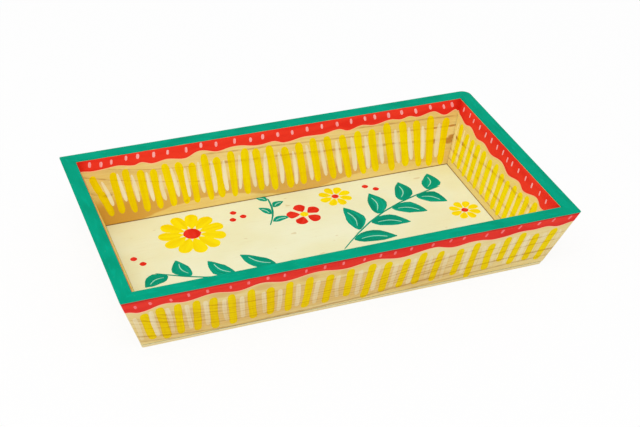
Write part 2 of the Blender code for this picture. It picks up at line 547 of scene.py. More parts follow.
@dataclass(frozen=True)
class Vein:
    """One dark growth line that the eye can follow along a board.

    Its height is a parabola of the distance run from its start, and `broken` is how much it breaks up. It
    fades in from `before_end` outside each end to `past_end` inside it, and across from `thickness` off its
    middle to the `core` part of that.
    """

    start: float
    end: float
    height: float
    climb: float
    curve: float = 0.0
    thickness: float = 0.7 * MM
    strength: float = 0.7
    broken: float = 0.5
    core: float = 0.1
    before_end: float = 6 * MM
    past_end: float = 4 * MM

    def amount(self, graph: Graph, at: Signal, height: Signal, patchy: Signal) -> Signal:
        """How dark the line is at a place, given the board's patchiness, 0 to 1."""
        run = at - self.start
        slope = graph.math("MULTIPLY_ADD", run, self.curve, self.climb)
        off = (height - graph.math("MULTIPLY_ADD", slope, run, self.height)).one("ABSOLUTE")
        half = (self.end - self.start) / 2
        reach = (run - half).one("ABSOLUTE").step(half + self.before_end, half - self.past_end)
        steady = (1 - self.broken) * self.strength
        whole = graph.math("MULTIPLY_ADD", patchy, self.broken * self.strength, steady)
        return off.step(self.thickness, self.thickness * self.core) * reach * whole


@dataclass(frozen=True)
class Heartwood:
    """A darker, orange band low on a board.

    Its lower edge is a cosine along the board, ragged and a little blurred. It fades out upwards and towards
    one end, and beyond the places of `paler_at` it is paler by `pale`.
    """

    colour: Colour
    edge: float
    swing: float
    wave: float
    crest_at: float
    fade: tuple[float, float]
    end: tuple[float, float]
    pale: float = 0.3
    paler_at: tuple[float, float] = (-0.13, -0.09)
    raggedness: float = 5 * MM
    blur: tuple[float, float] = (-0.3 * MM, 0.9 * MM)

    def amount(self, graph: Graph, at: Signal, height: Signal) -> Signal:
        """How much of the band shows at a place, 0 to 1."""
        swing = ((at - self.crest_at) * (2 * math.pi / self.wave)).one("COSINE") * self.swing
        ragged = (RAGGED.over(graph, at, 0.0, height) - NOISE_MEAN) * self.raggedness
        edge = (height - swing - ragged).step(self.edge + self.blur[0], self.edge + self.blur[1])
        paler = at.step(*self.paler_at) * -self.pale + 1.0
        return edge * height.step(*self.fade) * at.step(*self.end) * paler


@dataclass(frozen=True)
class Pine:
    """Planed pine board: growth rings sliced along the board, fibres, tones, heartwood and marks.

    The ring that a place belongs to is its height, less the rings' climb along the board and their quadratic
    rise towards its ends, drawn together where the rings fan out there, plus a slow waver. Latewood is the
    last part of each ring, darkest from `late_full` to `late_until`, and each ring has its own darkness, from
    `faintest_ring` up. `shown` holds the heights between which the rings show, `dense` is a darker tone
    there, and `bleed` is how much the wood's dark lines show through thin paint. A name that ends in `_share`
    says how much of its colour goes over the wood, and one in `_blur` how softly it ends.
    """

    side: Side
    light: Colour
    deep: Colour
    latewood: Colour
    pitch: float
    dark_part: float = 0.35
    strength: float = 0.5
    climb: float = 0.0
    fan: tuple[float, float] = (0.0, 0.0)
    rise: tuple[float, float] = (0.0, 0.0)
    shown: tuple[float, float] = (0.0, 0.054)
    first: float = 0.0
    waver: float = 2.5 * MM
    heartwood: Optional[Heartwood] = None
    knots: tuple[Knot, ...] = ()
    smudges: tuple[Knot, ...] = ()
    veins: tuple[Vein, ...] = ()
    scored: float = 0.0
    ring_share: float = 1.0
    mark: Colour = srgb(150, 92, 38)
    smudged: Colour = srgb(222, 186, 110)
    smudge_share: float = 0.8
    dense: Optional[Colour] = None
    dense_start: tuple[float, float] = (-0.164, -0.146)
    dense_end: tuple[float, float] = (1.0, 0.9)
    ends_from: tuple[float, float] = (0.09, 0.0)
    glue_top: float = 3.2 * MM
    lean: float = 0.35
    bleed: float = 1.0
    late_full: float = 0.92
    late_until: float = 0.93
    faintest_ring: float = 0.25
    faintest_patch: float = 0.55
    uneven_fine: float = 0.45
    uneven_rings: float = 0.8
    low_blur: float = 3 * MM
    high_blur: float = 1 * MM
    dense_share: float = 0.6
    dark_fibre: tuple[float, float] = (0.5, 0.8)
    dark_fibre_share: float = 0.16
    pale_fibre: tuple[float, float] = (0.5, 0.2)
    pale_fibre_share: float = 0.2
    pale: Colour = srgb(250, 240, 205)
    vein_waver: float = 1.4 * MM
    knot_share: float = 0.75
    below_score: Colour = srgb(212, 188, 120)
    below_share: float = 0.3
    below_blur: float = 1 * MM
    groove: tuple[float, float] = (0.9 * MM, 0.1 * MM)
    groove_share: float = 0.5
    glue_share: float = 0.6
    glue_blur: float = 0.5 * MM
    smooth: float = 0.72
    rougher: float = 0.25
    specular: float = 0.25
    relief: float = 0.05 * MM

    def axes(self, graph: Graph) -> tuple[Signal, Signal, Signal]:
        """Place along the face that is seen most, depth through the board, and height."""
        x, y, height = graph.place()
        outward, level = (y, x) if self.side.is_long else (x, y)
        at = level * -1.0 if self.side is Side.RIGHT else level
        depth = outward * float(-sum(self.side.value)) + height * math.tan(TraySizes.splay)
        return at, depth, height

    def rings(self, graph: Graph, at: Signal, depth: Signal, height: Signal) -> Signal:
        """How dark the growth rings' latewood is at a place, 0 to 1."""
        left = graph.math("MAXIMUM", at * -1.0 - self.ends_from[0], 0.0)
        right = graph.math("MAXIMUM", at - self.ends_from[1], 0.0)
        spread = left * self.fan[0] + right * self.fan[1] + 1.0
        rise = left * left * self.rise[0] + right * right * self.rise[1] + at * self.climb
        noise = DRIFT.over(graph, at, depth, height, starts=(0.0, 0.0, self.first * DRIFT_START))
        drift = (noise - NOISE_MEAN) * (2 * self.waver)
        ring = (height - rise) / spread + depth * self.lean + drift
        uneven = UNEVEN.over(graph, ring * (self.uneven_fine / self.pitch), self.first, 0.0)
        count = ring / self.pitch + uneven * self.uneven_rings + self.first / self.pitch
        part = count.one("FRACT")
        latewood = part.step(1 - self.dark_part, self.late_full) * part.step(1.0, self.late_until)
        tone = RING_TONE.share(graph, count.one("FLOOR"), self.first, RING_LAYER)
        tone = tone * (1 - self.faintest_ring) + self.faintest_ring
        faint = FAINT.share(graph, at, depth, height) * (1 - self.faintest_patch) + self.faintest_patch
        return latewood * tone * faint

    def foot(self, graph: Graph, height: Signal, colour: bpy.types.NodeSocket) -> bpy.types.NodeSocket:
        """The colour with the scored line near the board's foot and the glue at its joint with the panel."""
        if self.scored:
            below = height.step(self.scored, self.scored - self.below_blur)
            colour = graph.mix(below * self.below_share, colour, self.below_score)
            groove = (height - self.scored).one("ABSOLUTE").step(*self.groove)
            colour = graph.mix(groove * self.groove_share, colour, self.mark)
        if self.glue_top:
            glue = height.step(self.glue_top, self.glue_top - self.glue_blur)
            colour = graph.mix(glue * self.glue_share, colour, self.mark)
        return colour

    def grain(self, graph: Graph) -> tuple[bpy.types.NodeSocket, Signal]:
        """The bare wood's colour and relief."""
        at, depth, height = self.axes(graph)
        low, high = self.shown
        shown = height.step(low - self.low_blur, low + self.low_blur)
        shown = shown * height.step(high + self.high_blur, high - self.high_blur) * at.step(*self.dense_end)
        lines = self.rings(graph, at, depth, height) * shown * self.ring_share
        fibre = FIBRE.over(graph, at, depth, height)
        tone = TONE.share(graph, at, depth, height, starts=(self.first * TONE_START, 0.0, 0.0))
        colour = graph.mix(tone, self.light, self.deep)
        if self.dense:
            colour = graph.mix(shown * at.step(*self.dense_start) * self.dense_share, colour, self.dense)
        colour = graph.mix(fibre.step(*self.dark_fibre) * self.dark_fibre_share, colour, self.latewood)
        colour = graph.mix(fibre.step(*self.pale_fibre) * self.pale_fibre_share, colour, self.pale)
        if self.heartwood:
            colour = graph.mix(self.heartwood.amount(graph, at, height), colour, self.heartwood.colour)
        for smudge in self.smudges:
            colour = graph.mix(smudge.amount(at, height) * self.smudge_share, colour, self.smudged)
        unsteady = UNSTEADY.over(graph, at, height, self.first * UNSTEADY_START) - NOISE_MEAN
        wavering = unsteady * self.vein_waver + height
        patchy = PATCHES.share(graph, at, height, PATCH_LAYER)
        for vein in self.veins:
            lines = graph.math("MAXIMUM", lines, vein.amount(graph, at, wavering, patchy))
        colour = graph.mix(lines * self.strength, colour, self.latewood)
        for knot in self.knots:
            amount = knot.amount(at, height)
            colour = graph.mix(amount * self.knot_share, colour, self.mark)
            lines = graph.math("MAXIMUM", lines, amount)
        return self.foot(graph, height, colour), (lines + fibre) * -0.5 + 1.0

    def material(self) -> bpy.types.Material:
        """The bare wood as a finish."""
        graph = Graph(f"pine_{self.side.title}")
        colour, relief = self.grain(graph)
        graph.finish(colour, relief * -self.rougher + self.smooth, self.specular, relief, self.relief)
        return graph.material


@dataclass(frozen=True)
class Plywood:
    """Pale three-ply: a sealed upper face with faint flecks, and barer edges with a browner core.

    It has glue on it from `glued`, half its length and width between the boards' feet, to `glue_until`
    beyond.
    """

    face: Colour = srgb(240, 242, 208)
    shade: Colour = srgb(237, 236, 193)
    edge: Colour = srgb(247, 232, 184)
    glue: Colour = srgb(168, 122, 52)
    glued: tuple[float, float] = (143.2 * MM, 68.2 * MM)
    edge_top: float = 2.4 * MM
    core: Colour = srgb(206, 178, 122)
    core_share: float = 0.4
    fleck: Colour = srgb(206, 178, 118)
    core_from: float = 0.8 * MM
    core_to: float = 1.7 * MM
    bleed: float = 0.0
    mottle: Speckle = Speckle((16, 24, 24), 3.0, (0.35, 0.68))
    fibre: Speckle = Speckle((70, 900, 900), 2.0, (0.55, 0.85))
    fibre_share: float = 0.15
    flecks: Speckle = Speckle((90, 190, 190), counts=(0.735, 0.79))
    fleck_share: float = 0.45
    glue_share: float = 0.9
    glue_blur: float = 0.15 * MM
    glue_until: tuple[float, float] = (3 * MM, 2 * MM)
    ply_blur: float = 0.1 * MM
    smooth: float = 0.75
    rougher: float = 0.2
    specular: float = 0.2
    relief: float = 0.03 * MM

    def grain(self, graph: Graph) -> tuple[bpy.types.NodeSocket, Signal]:
        """The bare wood's colour and relief."""
        x, y, z = graph.place()
        past = graph.math("MAXIMUM", x.one("ABSOLUTE") - self.glued[0], y.one("ABSOLUTE") - self.glued[1])
        fibre = self.fibre.over(graph, x, y, z)
        colour = graph.mix(self.mottle.share(graph, x, y, z), self.face, self.shade)
        colour = graph.mix(fibre.step(*self.fibre.counts) * self.fibre_share, colour, self.fleck)
        colour = graph.mix(self.flecks.share(graph, x, y, z) * self.fleck_share, colour, self.fleck)
        glued = past.step(-self.glue_blur, self.glue_blur) * past.step(*self.glue_until)
        colour = graph.mix(glued * self.glue_share, colour, self.glue)
        colour = graph.mix(z.step(self.edge_top, self.edge_top - self.ply_blur), colour, self.edge)
        above = z.step(self.core_from - self.ply_blur, self.core_from)
        core = above * z.step(self.core_to, self.core_to - self.ply_blur)
        return graph.mix(core * self.core_share, colour, self.core), fibre * -1.0 + 1.0

    def material(self) -> bpy.types.Material:
        """The bare panel as a finish."""
        graph = Graph("plywood")
        colour, relief = self.grain(graph)
        graph.finish(colour, relief * -self.rougher + self.smooth, self.specular, relief, self.relief)
        return graph.material


# How the bristles streak the paint, read along the stroke, across it and from stroke to stroke
BRISTLES = Speckle((1, 5, 40), 2.0)
POOLS = Speckle((0.5, 1.2, 60), counts=(0.35, 0.7))
WORN = Speckle((260, 9, 1), 2.0, (0.66, 0.74))
POOL_START = 7.0
# The number of a stroke that is neither light nor heavy
MEAN_HEFT = 0.5


@dataclass(frozen=True)
class Paint:
    """Brushed water-based paint over wood.

    What the wood shows through is the paint's colour times the wood's, and the bristles thin the paint in
    streaks along the stroke. `heft` is how much thicker a heavy stroke is than a light one, less by `foot` at
    the stroke's start and more by it from `full_by` on. `soaks` is how much thinner the paint is over the
    hard lines of wood that bleeds, `light` the colour that the bristles leave in some of the streaks, `dull`
    a painted shade along a band's upper edge, under the rim's arris, and `corner_shade` a painted shade in
    the tray's inner corners, between the places of `corner_shade_x` and of `corner_shade_y`. Along a stroke's
    right-hand side or a band's lower edge, from the first number of `edge` on, the colour turns into the
    edge's. From `fades` on, out from the stroke's middle line, the paint thins. `scuffs` is how worn the
    paint is, all of it on the
    `arris` and the `flat_scuffs` part of it between. A name that ends in `_share` says how much of its colour
    goes over the paint.
    """

    title: str
    slot: str
    colour: Colour
    deep: Colour
    cover: float
    streaks: float
    thin_edge: float = 0.0
    edge_colour: Colour = (1.0, 1.0, 1.0)
    edge: tuple[float, float] = (0.88, 1.0)
    fades: float = 0.75
    roughness: float = 0.55
    streak_length: float = 0.02
    scuffs: float = 0.0
    soaks: float = 0.0
    heft: float = 0.0
    foot: float = 0.0
    light: Optional[Colour] = None
    # Colours of painted shade: along a band's upper edge, and in the tray's inner corners
    dull: Optional[Colour] = None
    corner_shade: Optional[Colour] = None
    gloss: float = 0.06
    full_by: float = 0.02
    bare_relief: float = 0.75
    light_streaks: tuple[float, float] = (0.5, 0.72)
    light_share: float = 0.6
    dull_edge: tuple[float, float] = (-0.35, -0.65)
    dull_share: float = 0.7
    corner_shade_x: tuple[float, float] = (149 * MM, 158 * MM)
    corner_shade_y: tuple[float, float] = (74 * MM, 83 * MM)
    corner_shade_share: float = 0.7
    arris: tuple[float, float] = (0.35, 0.62)
    flat_scuffs: float = 0.3
    rough_streaks: float = 0.2
    bristle_relief: float = 0.6
    relief: float = 0.05 * MM

    def over(self, wood: Union[Pine, Plywood], name: str) -> bpy.types.Material:
        """The paint on a piece of wood.

        Args:
            wood: What it is painted on.
            name: What the painted place is called.

        Returns:
            The material.
        """
        graph = Graph(f"{self.title}_{name}")
        bare, relief = wood.grain(graph)
        along, across, number = graph.brush()
        run = along / self.streak_length
        bristle = BRISTLES.over(graph, run, across, number)
        tinted = graph.mix(1.0, bare, self.colour, "MULTIPLY")
        amount = (bristle - NOISE_MEAN) * self.streaks + self.cover
        if self.heft:
            swing = along.step(0.0, self.full_by) * (2 * self.foot) + (self.heft - self.foot)
            amount = amount + (number - MEAN_HEFT) * swing
        amount = amount - across.one("ABSOLUTE").step(self.fades, 1.0) * self.thin_edge
        if self.soaks:
            amount = amount + (relief - self.bare_relief) * (self.soaks * wood.bleed)
        pool = POOLS.share(graph, run, across, number, starts=(0.0, 0.0, POOL_START))
        solid = self.solid(graph, graph.mix(pool, self.colour, self.deep), bristle, across)
        colour = graph.mix(amount, tinted, solid)
        if self.thin_edge:
            colour = graph.mix(across.step(*self.edge) * self.thin_edge, colour, self.edge_colour)
        if self.scuffs:
            worn = WORN.share(graph, along, across, 0.0)
            arris = across.one("ABSOLUTE").step(*self.arris) * (1 - self.flat_scuffs) + self.flat_scuffs
            colour = graph.mix(worn * arris * self.scuffs, colour, self.edge_colour)
        rough = bristle * self.rough_streaks + (self.roughness - self.rough_streaks / 2)
        height = bristle * self.bristle_relief + relief * (1 - self.bristle_relief)
        graph.finish(colour, rough, self.gloss, height, self.relief)
        return graph.material

    def solid(
        self, graph: Graph, colour: bpy.types.NodeSocket, bristle: Signal, across: Signal
    ) -> bpy.types.NodeSocket:
        """The paint's colours where it covers the wood, with its painted shade.

        Args:
            graph: The material's nodes.
            colour: The paint's colour so far.
            bristle: The bristles' streaks.
            across: Place across the stroke.

        Returns:
            The colour with its lighter streaks, and its painted shade under the rim and in the corners.
        """
        if self.light:
            colour = graph.mix(bristle.step(*self.light_streaks) * self.light_share, colour, self.light)
        # Painted shade along the band's upper edge, where the rim's arris shades it.
        if self.dull:
            colour = graph.mix(across.step(*self.dull_edge) * self.dull_share, colour, self.dull)
        # Painted shade: a darker red in the tray's inner corners.
        if self.corner_shade:
            x, y, _ = graph.place()
            corner = x.one("ABSOLUTE").step(*self.corner_shade_x) * y.one("ABSOLUTE").step(*self.corner_shade_y)
            colour = graph.mix(corner * self.corner_shade_share, colour, self.corner_shade)
        return colour


@dataclass(frozen=True)
class Steel:
    """Drawn steel wire, with fine scratches round it."""

    colour: Colour = srgb(188, 188, 190)
    dull: Colour = srgb(150, 148, 146)
    scratches: Speckle = Speckle((900, 900, 9000), 2.0, (0.4, 0.7))
    smooth: float = 0.2
    rougher: float = 0.3
    specular: float = 0.5
    relief: float = 0.01 * MM

    def material(self) -> bpy.types.Material:
        """The finish of the pins."""
        graph = Graph("brad_steel")
        scratch = self.scratches.over(graph, *graph.place())
        graph.shader.inputs["Metallic"].default_value = 1.0
        colour = graph.mix(scratch.step(*self.scratches.counts), self.colour, self.dull)
        graph.finish(colour, scratch * self.rougher + self.smooth, self.specular, scratch, self.relief)
        return graph.material


GREEN = Paint(
    "green", "green_paint", srgb(0, 162, 129), srgb(0, 152, 119), cover=0.97, streaks=0.1,
    edge_colour=srgb(120, 200, 150), roughness=0.6, streak_length=0.012, scuffs=0.3,
    light=srgb(2, 172, 139), gloss=0.02,
)
LEAF_GREEN = Paint(
    "leaf_green", "green_paint", srgb(0, 156, 124), srgb(0, 138, 108), cover=0.95, streaks=0.2,
    roughness=0.6, heft=0.08, light=srgb(20, 184, 150), gloss=0.03,
)
# The inner red, whose `corner_shade` colour is painted shade in the tray's inner corners.
INNER_RED = Paint(
    "red", "red_paint", srgb(246, 60, 40), srgb(236, 46, 32), cover=0.92, streaks=0.12,
    thin_edge=0.9, edge_colour=srgb(255, 212, 160), edge=(0.67, 0.76), fades=0.87,
    streak_length=0.03, corner_shade=srgb(208, 22, 4),
)
# The outer band's red is a darker copy of the inner one, painted shade for the outer faces, which catch less
# light; its `dull` colour is painted shade along its upper edge under the rim.
SHADED_OUTER_RED = replace(
    INNER_RED, colour=srgb(238, 56, 44), deep=srgb(226, 42, 36), edge_colour=srgb(255, 208, 170),
    dull=srgb(170, 36, 34), corner_shade=None,
)
BERRY_RED = Paint(
    "berry_red", "red_paint", srgb(236, 52, 36), srgb(218, 32, 14), cover=0.95, streaks=0.15,
)
YELLOW = Paint(
    "yellow", "yellow_paint", srgb(247, 225, 0), srgb(241, 215, 0), cover=0.77, streaks=0.25,
    thin_edge=0.3, edge_colour=srgb(240, 216, 70), fades=0.65, soaks=0.8, heft=0.43, gloss=0.03,
)
PETAL_YELLOW = Paint(
    "petal_yellow", "yellow_paint", srgb(252, 230, 6), srgb(246, 216, 2), cover=0.92, streaks=0.2,
    heft=0.08,
)
CREAM = Paint(
    "cream", "white_paint", srgb(246, 238, 206), srgb(243, 232, 192), cover=0.74, streaks=0.45,
    thin_edge=0.45, edge_colour=srgb(240, 224, 164), fades=0.6, soaks=0.5, heft=0.6, foot=0.3,
)
# Lighter copies of the yellow and the cream for the right board: painted light, as its inner face is lit more
# than the others; the cream is yellower there as well.
LIT_YELLOW = replace(YELLOW, colour=srgb(252, 236, 6), deep=srgb(249, 228, 2))
LIT_CREAM = replace(CREAM, colour=srgb(255, 246, 196), deep=srgb(252, 240, 178))
PINK = Paint(
    "pink", "white_paint", srgb(255, 186, 188), srgb(255, 154, 158), cover=0.97, streaks=0.3,
    thin_edge=0.4, edge_colour=srgb(246, 96, 88),
)
ROSE = Paint(
    "rose", "white_paint", srgb(252, 136, 140), srgb(246, 108, 114), cover=0.92, streaks=0.3,
    thin_edge=0.4, edge_colour=srgb(240, 86, 80),
)
MINT = Paint(
    "mint", "white_paint", srgb(178, 236, 218), srgb(150, 222, 200), cover=0.85, streaks=0.2,
)


@dataclass(frozen=True)
class Face:
    """One face of a board, as a surface that takes (at, below, lift off the wood) and gives points.

    All of it lies lower than `below` says by `drop`.
    """

    sizes: TraySizes
    side: Side
    inside: bool
    drop: float = 0.0

    def __call__(self, at: np.ndarray, below: np.ndarray, lift: np.ndarray) -> np.ndarray:
        """Points on the face: right by at, out to the board's slope at that height, and off it by lift."""
        turn = -1.0 if self.inside else 1.0
        height = self.sizes.height - self.drop - below
        depth = self.sizes.across if self.inside else self.sizes.skin
        level = self.sizes.half(self.side) - self.sizes.flare(height) - depth
        level = level + lift * turn * math.cos(self.sizes.splay)
        height = height - lift * turn * math.sin(self.sizes.splay)
        flat = self.side.onward * turn * at[..., None] + self.side.outward * level[..., None]
        return flat + UP * height[..., None]


@dataclass(frozen=True)
class Taper:
    """How a stroke's width runs from its start to its end.

    Between round ends, it starts at `start` of the full width, and a quarter of a sine wave brings it to the
    full width at `full_at` of the length. By the end it has lost `loses` of it, the later the higher `late`
    is. A leaf is pointed at both ends instead: half a sine wave of the length to the power `forward`, itself
    to the power `plump`.
    """

    start: float = 1.0
    full_at: float = 1.0
    loses: float = 0.0
    late: int = 2
    is_leaf: bool = False
    forward: float = 0.85
    plump: float = 0.8


class Tip(Enum):
    """Outline of a stroke: how wide it is from its start to its end."""

    ROUND = Taper()
    BRUSHED = Taper(loses=0.16)
    TAPERED = Taper(0.55, 0.6, 0.35, 10)
    LEAF = Taper(is_leaf=True)
    PETAL = Taper(0.35, 0.75)

    def width(self, share: np.ndarray, caps: np.ndarray) -> np.ndarray:
        """Width as a part of the full width.

        Args:
            share: Place along the stroke, 0 to 1.
            caps: Distance from the nearer end in half widths, which a round end follows on a circle.

        Returns:
            0 to 1.
        """
        taper = self.value
        if taper.is_leaf:
            return np.sin(np.pi * share**taper.forward) ** taper.plump
        circle = np.sqrt(1 - (1 - np.clip(caps, 0, 1)) ** 2)
        rise = np.sin(np.pi / 2 * np.clip(share / taper.full_at, 0, 1))
        return circle * (taper.start + (1 - taper.start) * rise) * (1 - share**taper.late * taper.loses)


# Least and greatest width of a board's strokes, as parts of what the layout gives
WIDTH_SPREAD = (0.94, 1.06)


@dataclass
class Strokes:
    """Brush strokes on a flat face, each from a start to an end, in metres.

    A stroke's middle line runs straight, bowed aside by a half sine wave. Its surface is a grid along and
    across that line, lifted off the wood inside its edge, and one flat face closes it underneath. Its sides
    ripple by `uneven` of its width, which is nowhere less than the `least` part of it, and it rises from its
    sides to its middle line by the `crown` part of its thickness.
    """

    start: np.ndarray
    end: np.ndarray
    width: np.ndarray
    bow: np.ndarray
    tip: Tip = Tip.ROUND
    rows: int = 11
    columns: int = 5
    thickness: float = 0.1 * MM
    sunk: float = 0.01 * MM
    heft: tuple[float, float] = (0.0, 1.0)
    uneven: float = 0.05
    ripple_rates: tuple[float, float] = (8.0, 16.0)
    ripple_phases: tuple[float, float] = (0.0, 6.0)
    least: float = 0.12
    crown: float = 0.2

    @classmethod
    def marks(
        cls, marks: Marks, widths: tuple[float, float], random: np.random.Generator, tip: Tip, bow: float
    ) -> "Strokes":
        """Strokes down a board's face.

        Args:
            marks: (top at, foot at, top below, foot below) of each, in millimetres.
            widths: Width of the leftmost and the rightmost, in millimetres.
            random: Source of the hand's unsteadiness.
            tip: Outline of a stroke.
            bow: How far a stroke bows aside, more or less, in metres.

        Returns:
            The strokes.
        """
        table = np.array(marks) * MM
        count = len(table)
        width = np.interp(table[:, 0], (table[:, 0].min(), table[:, 0].max()), widths) * MM
        width = width * random.uniform(*WIDTH_SPREAD, count)
        bows = bow * random.normal(0.0, 1.0, count)
        return cls(table[:, (0, 2)], table[:, (1, 3)], width, bows, tip)

    def shell(self, surface: Surface, random: np.random.Generator) -> Shell:
        """The strokes on a surface.

        Args:
            surface: Takes flat coordinates and a lift, and gives points.
            random: Source of the strokes' numbers and uneven edges.

        Returns:
            All the strokes as one shell.
        """
        count = len(self.start)
        share = (1 - np.cos(np.linspace(0, np.pi, self.rows))) / 2
        side = np.sin(np.linspace(-np.pi / 2, np.pi / 2, self.columns))
        reach = self.end - self.start
        length = np.linalg.norm(reach, axis=-1)[:, None]
        aside = np.stack((-reach[:, 1], reach[:, 0]), -1) / length
        middle = self.start[:, None] + reach[:, None] * share[:, None]
        middle = middle + aside[:, None] * (self.bow[:, None] * np.sin(np.pi * share))[..., None]
        caps = np.minimum(share, 1 - share) * length / (self.width[:, None] / 2)
        rates = random.uniform(*self.ripple_rates, (count, 1))
        phases = random.uniform(*self.ripple_phases, (count, 1))
        uneven = 1 + self.uneven * np.sin(share * rates + phases)
        half = self.width[:, None] / 2 * np.maximum(self.tip.width(share, caps) * uneven, self.least)
        flat = middle[:, :, None] + aside[:, None, None] * (half[..., None] * side)[..., None]
        edge = np.ones((self.rows, self.columns), bool)
        edge[1:-1, 1:-1] = False
        lift = np.where(edge, -self.sunk, self.thickness * (1 - self.crown + self.crown * (1 - side**2)))
        points = surface(flat[..., 0], flat[..., 1], np.broadcast_to(lift, flat.shape[:-1]))
        numbers = random.uniform(*self.heft, count)[:, None, None]
        brush = np.stack(np.broadcast_arrays((share * length)[..., None], side, numbers), -1)
        quads = grid_quads(self.rows, self.columns).tolist()
        index = np.arange(self.rows * self.columns).reshape(self.rows, self.columns)
        under = [*index[0, :-1], *index[:-1, -1], *index[-1, :0:-1], *index[:0:-1, 0]]
        one = quads + [[int(i) for i in under]]
        size = index.size
        faces = [[i + size * stroke for i in face] for stroke in range(count) for face in one]
        return Shell(points.reshape(-1, 3), faces, brush.reshape(-1, 3))


@dataclass(frozen=True)
class FaceLayout:
    """What is painted on one face, in millimetres.

    `edge` holds the turning points of the red band's lower edge, as (at, below). `dots` are the places of
    the pale dots in the band. `yellow` and `cream` are strokes, as (top at, foot at, top below, foot below),
    and `widths` are how wide those two are at the face's left and right. `heft` is how heavily they were
    laid, from the lightest to the heaviest stroke, 0 to 1. All of it lies lower than it says by `drop`.
    """

    edge: Pairs
    dots: Pairs
    yellow: Marks
    cream: Marks
    dot_size: tuple[float, float] = (2.6, 4.1)
    dot_lean: tuple[float, float] = (0.0, 0.0)
    widths: Pairs = ((6.0, 6.0), (4.3, 4.3))
    heft: tuple[float, float] = (0.55, 1.0)
    drop: float = 0.4


@dataclass(frozen=True)
class BrushRule:
    """How a face that the photo hides is painted, after those that it shows, in millimetres.

    Scallops, strokes and dots follow in even steps, each a little off, and the strokes' feet lean in, by
    `lean` at the board's ends. A name that ends in `_off` is how far the hand strays to either side. `high`
    is how far the yellow and the cream strokes start under the band's mean depth, and `low` how far they end
    under the rim.
    """

    half: float
    random: np.random.Generator
    depth: float = 9.5
    scallop: float = 17.0
    scallop_off: float = 3.0
    swing: float = 1.6
    swing_off: float = 0.5
    pitch: float = 12.8
    bare_ends: float = 24.0
    first_stroke: float = 13.0
    stroke_off: float = 0.9
    gap_off: float = 0.6
    first_dot: float = 8.0
    dot_off: float = 1.0
    dot_depth: tuple[float, float] = (3.7, 5.0)
    lean: float = 9.0
    lean_off: float = 1.0
    high: tuple[float, float] = (3.3, 6.5)
    high_off: float = 1.2
    low: tuple[float, float] = (46.5, 42.5)
    low_off: float = 1.5

    def near(self, even: np.ndarray, off: float) -> np.ndarray:
        """Even places, each strayed from by up to that much."""
        return even + self.random.uniform(-off, off, len(even))

    def marks(self, top: np.ndarray, high: float, low: float) -> Marks:
        """Strokes down from these places, leaning in by the square of how far out they are."""
        inward = np.sign(top) * self.lean * np.abs(top / self.half) ** 2
        foot = self.near(top - inward, self.lean_off)
        highs = self.near(np.full(len(top), high), self.high_off)
        lows = self.near(np.full(len(top), low), self.low_off)
        return tuple(map(tuple, np.stack((top, foot, highs, lows), -1).tolist()))

    def layout(self, corners: tuple[float, float]) -> FaceLayout:
        """What the rule gives, with the band ending this far below the rim at the left and right corners."""
        half = self.half
        turns = 2 * round(half / self.scallop) + 1
        strokes = round((2 * half - self.bare_ends) / self.pitch)
        at =np.linspace(-half, half, turns)
        at[1:-1] = self.near(at[1:-1], self.scallop_off)
        swing = np.where(np.arange(turns) % 2, self.swing, -self.swing)
        below = self.near(self.depth + swing, self.swing_off)
        below[[0, -1]] = corners
        reach = half - self.first_stroke
        top = self.near(np.linspace(-reach, reach, strokes), self.stroke_off)
        gap = self.near((top[:-1] + top[1:]) / 2, self.gap_off)
        reach = half - self.first_dot
        dots = self.near(np.linspace(-reach, reach, strokes), self.dot_off)
        edge = tuple(zip(at.tolist(), below.tolist()))
        spots = tuple(zip(dots.tolist(), self.random.uniform(*self.dot_depth, strokes).tolist()))
        yellow = self.marks(top, self.depth + self.high[0], self.low[0])
        cream = self.marks(gap, self.depth + self.high[1], self.low[1])
        return FaceLayout(edge, spots, yellow, cream)


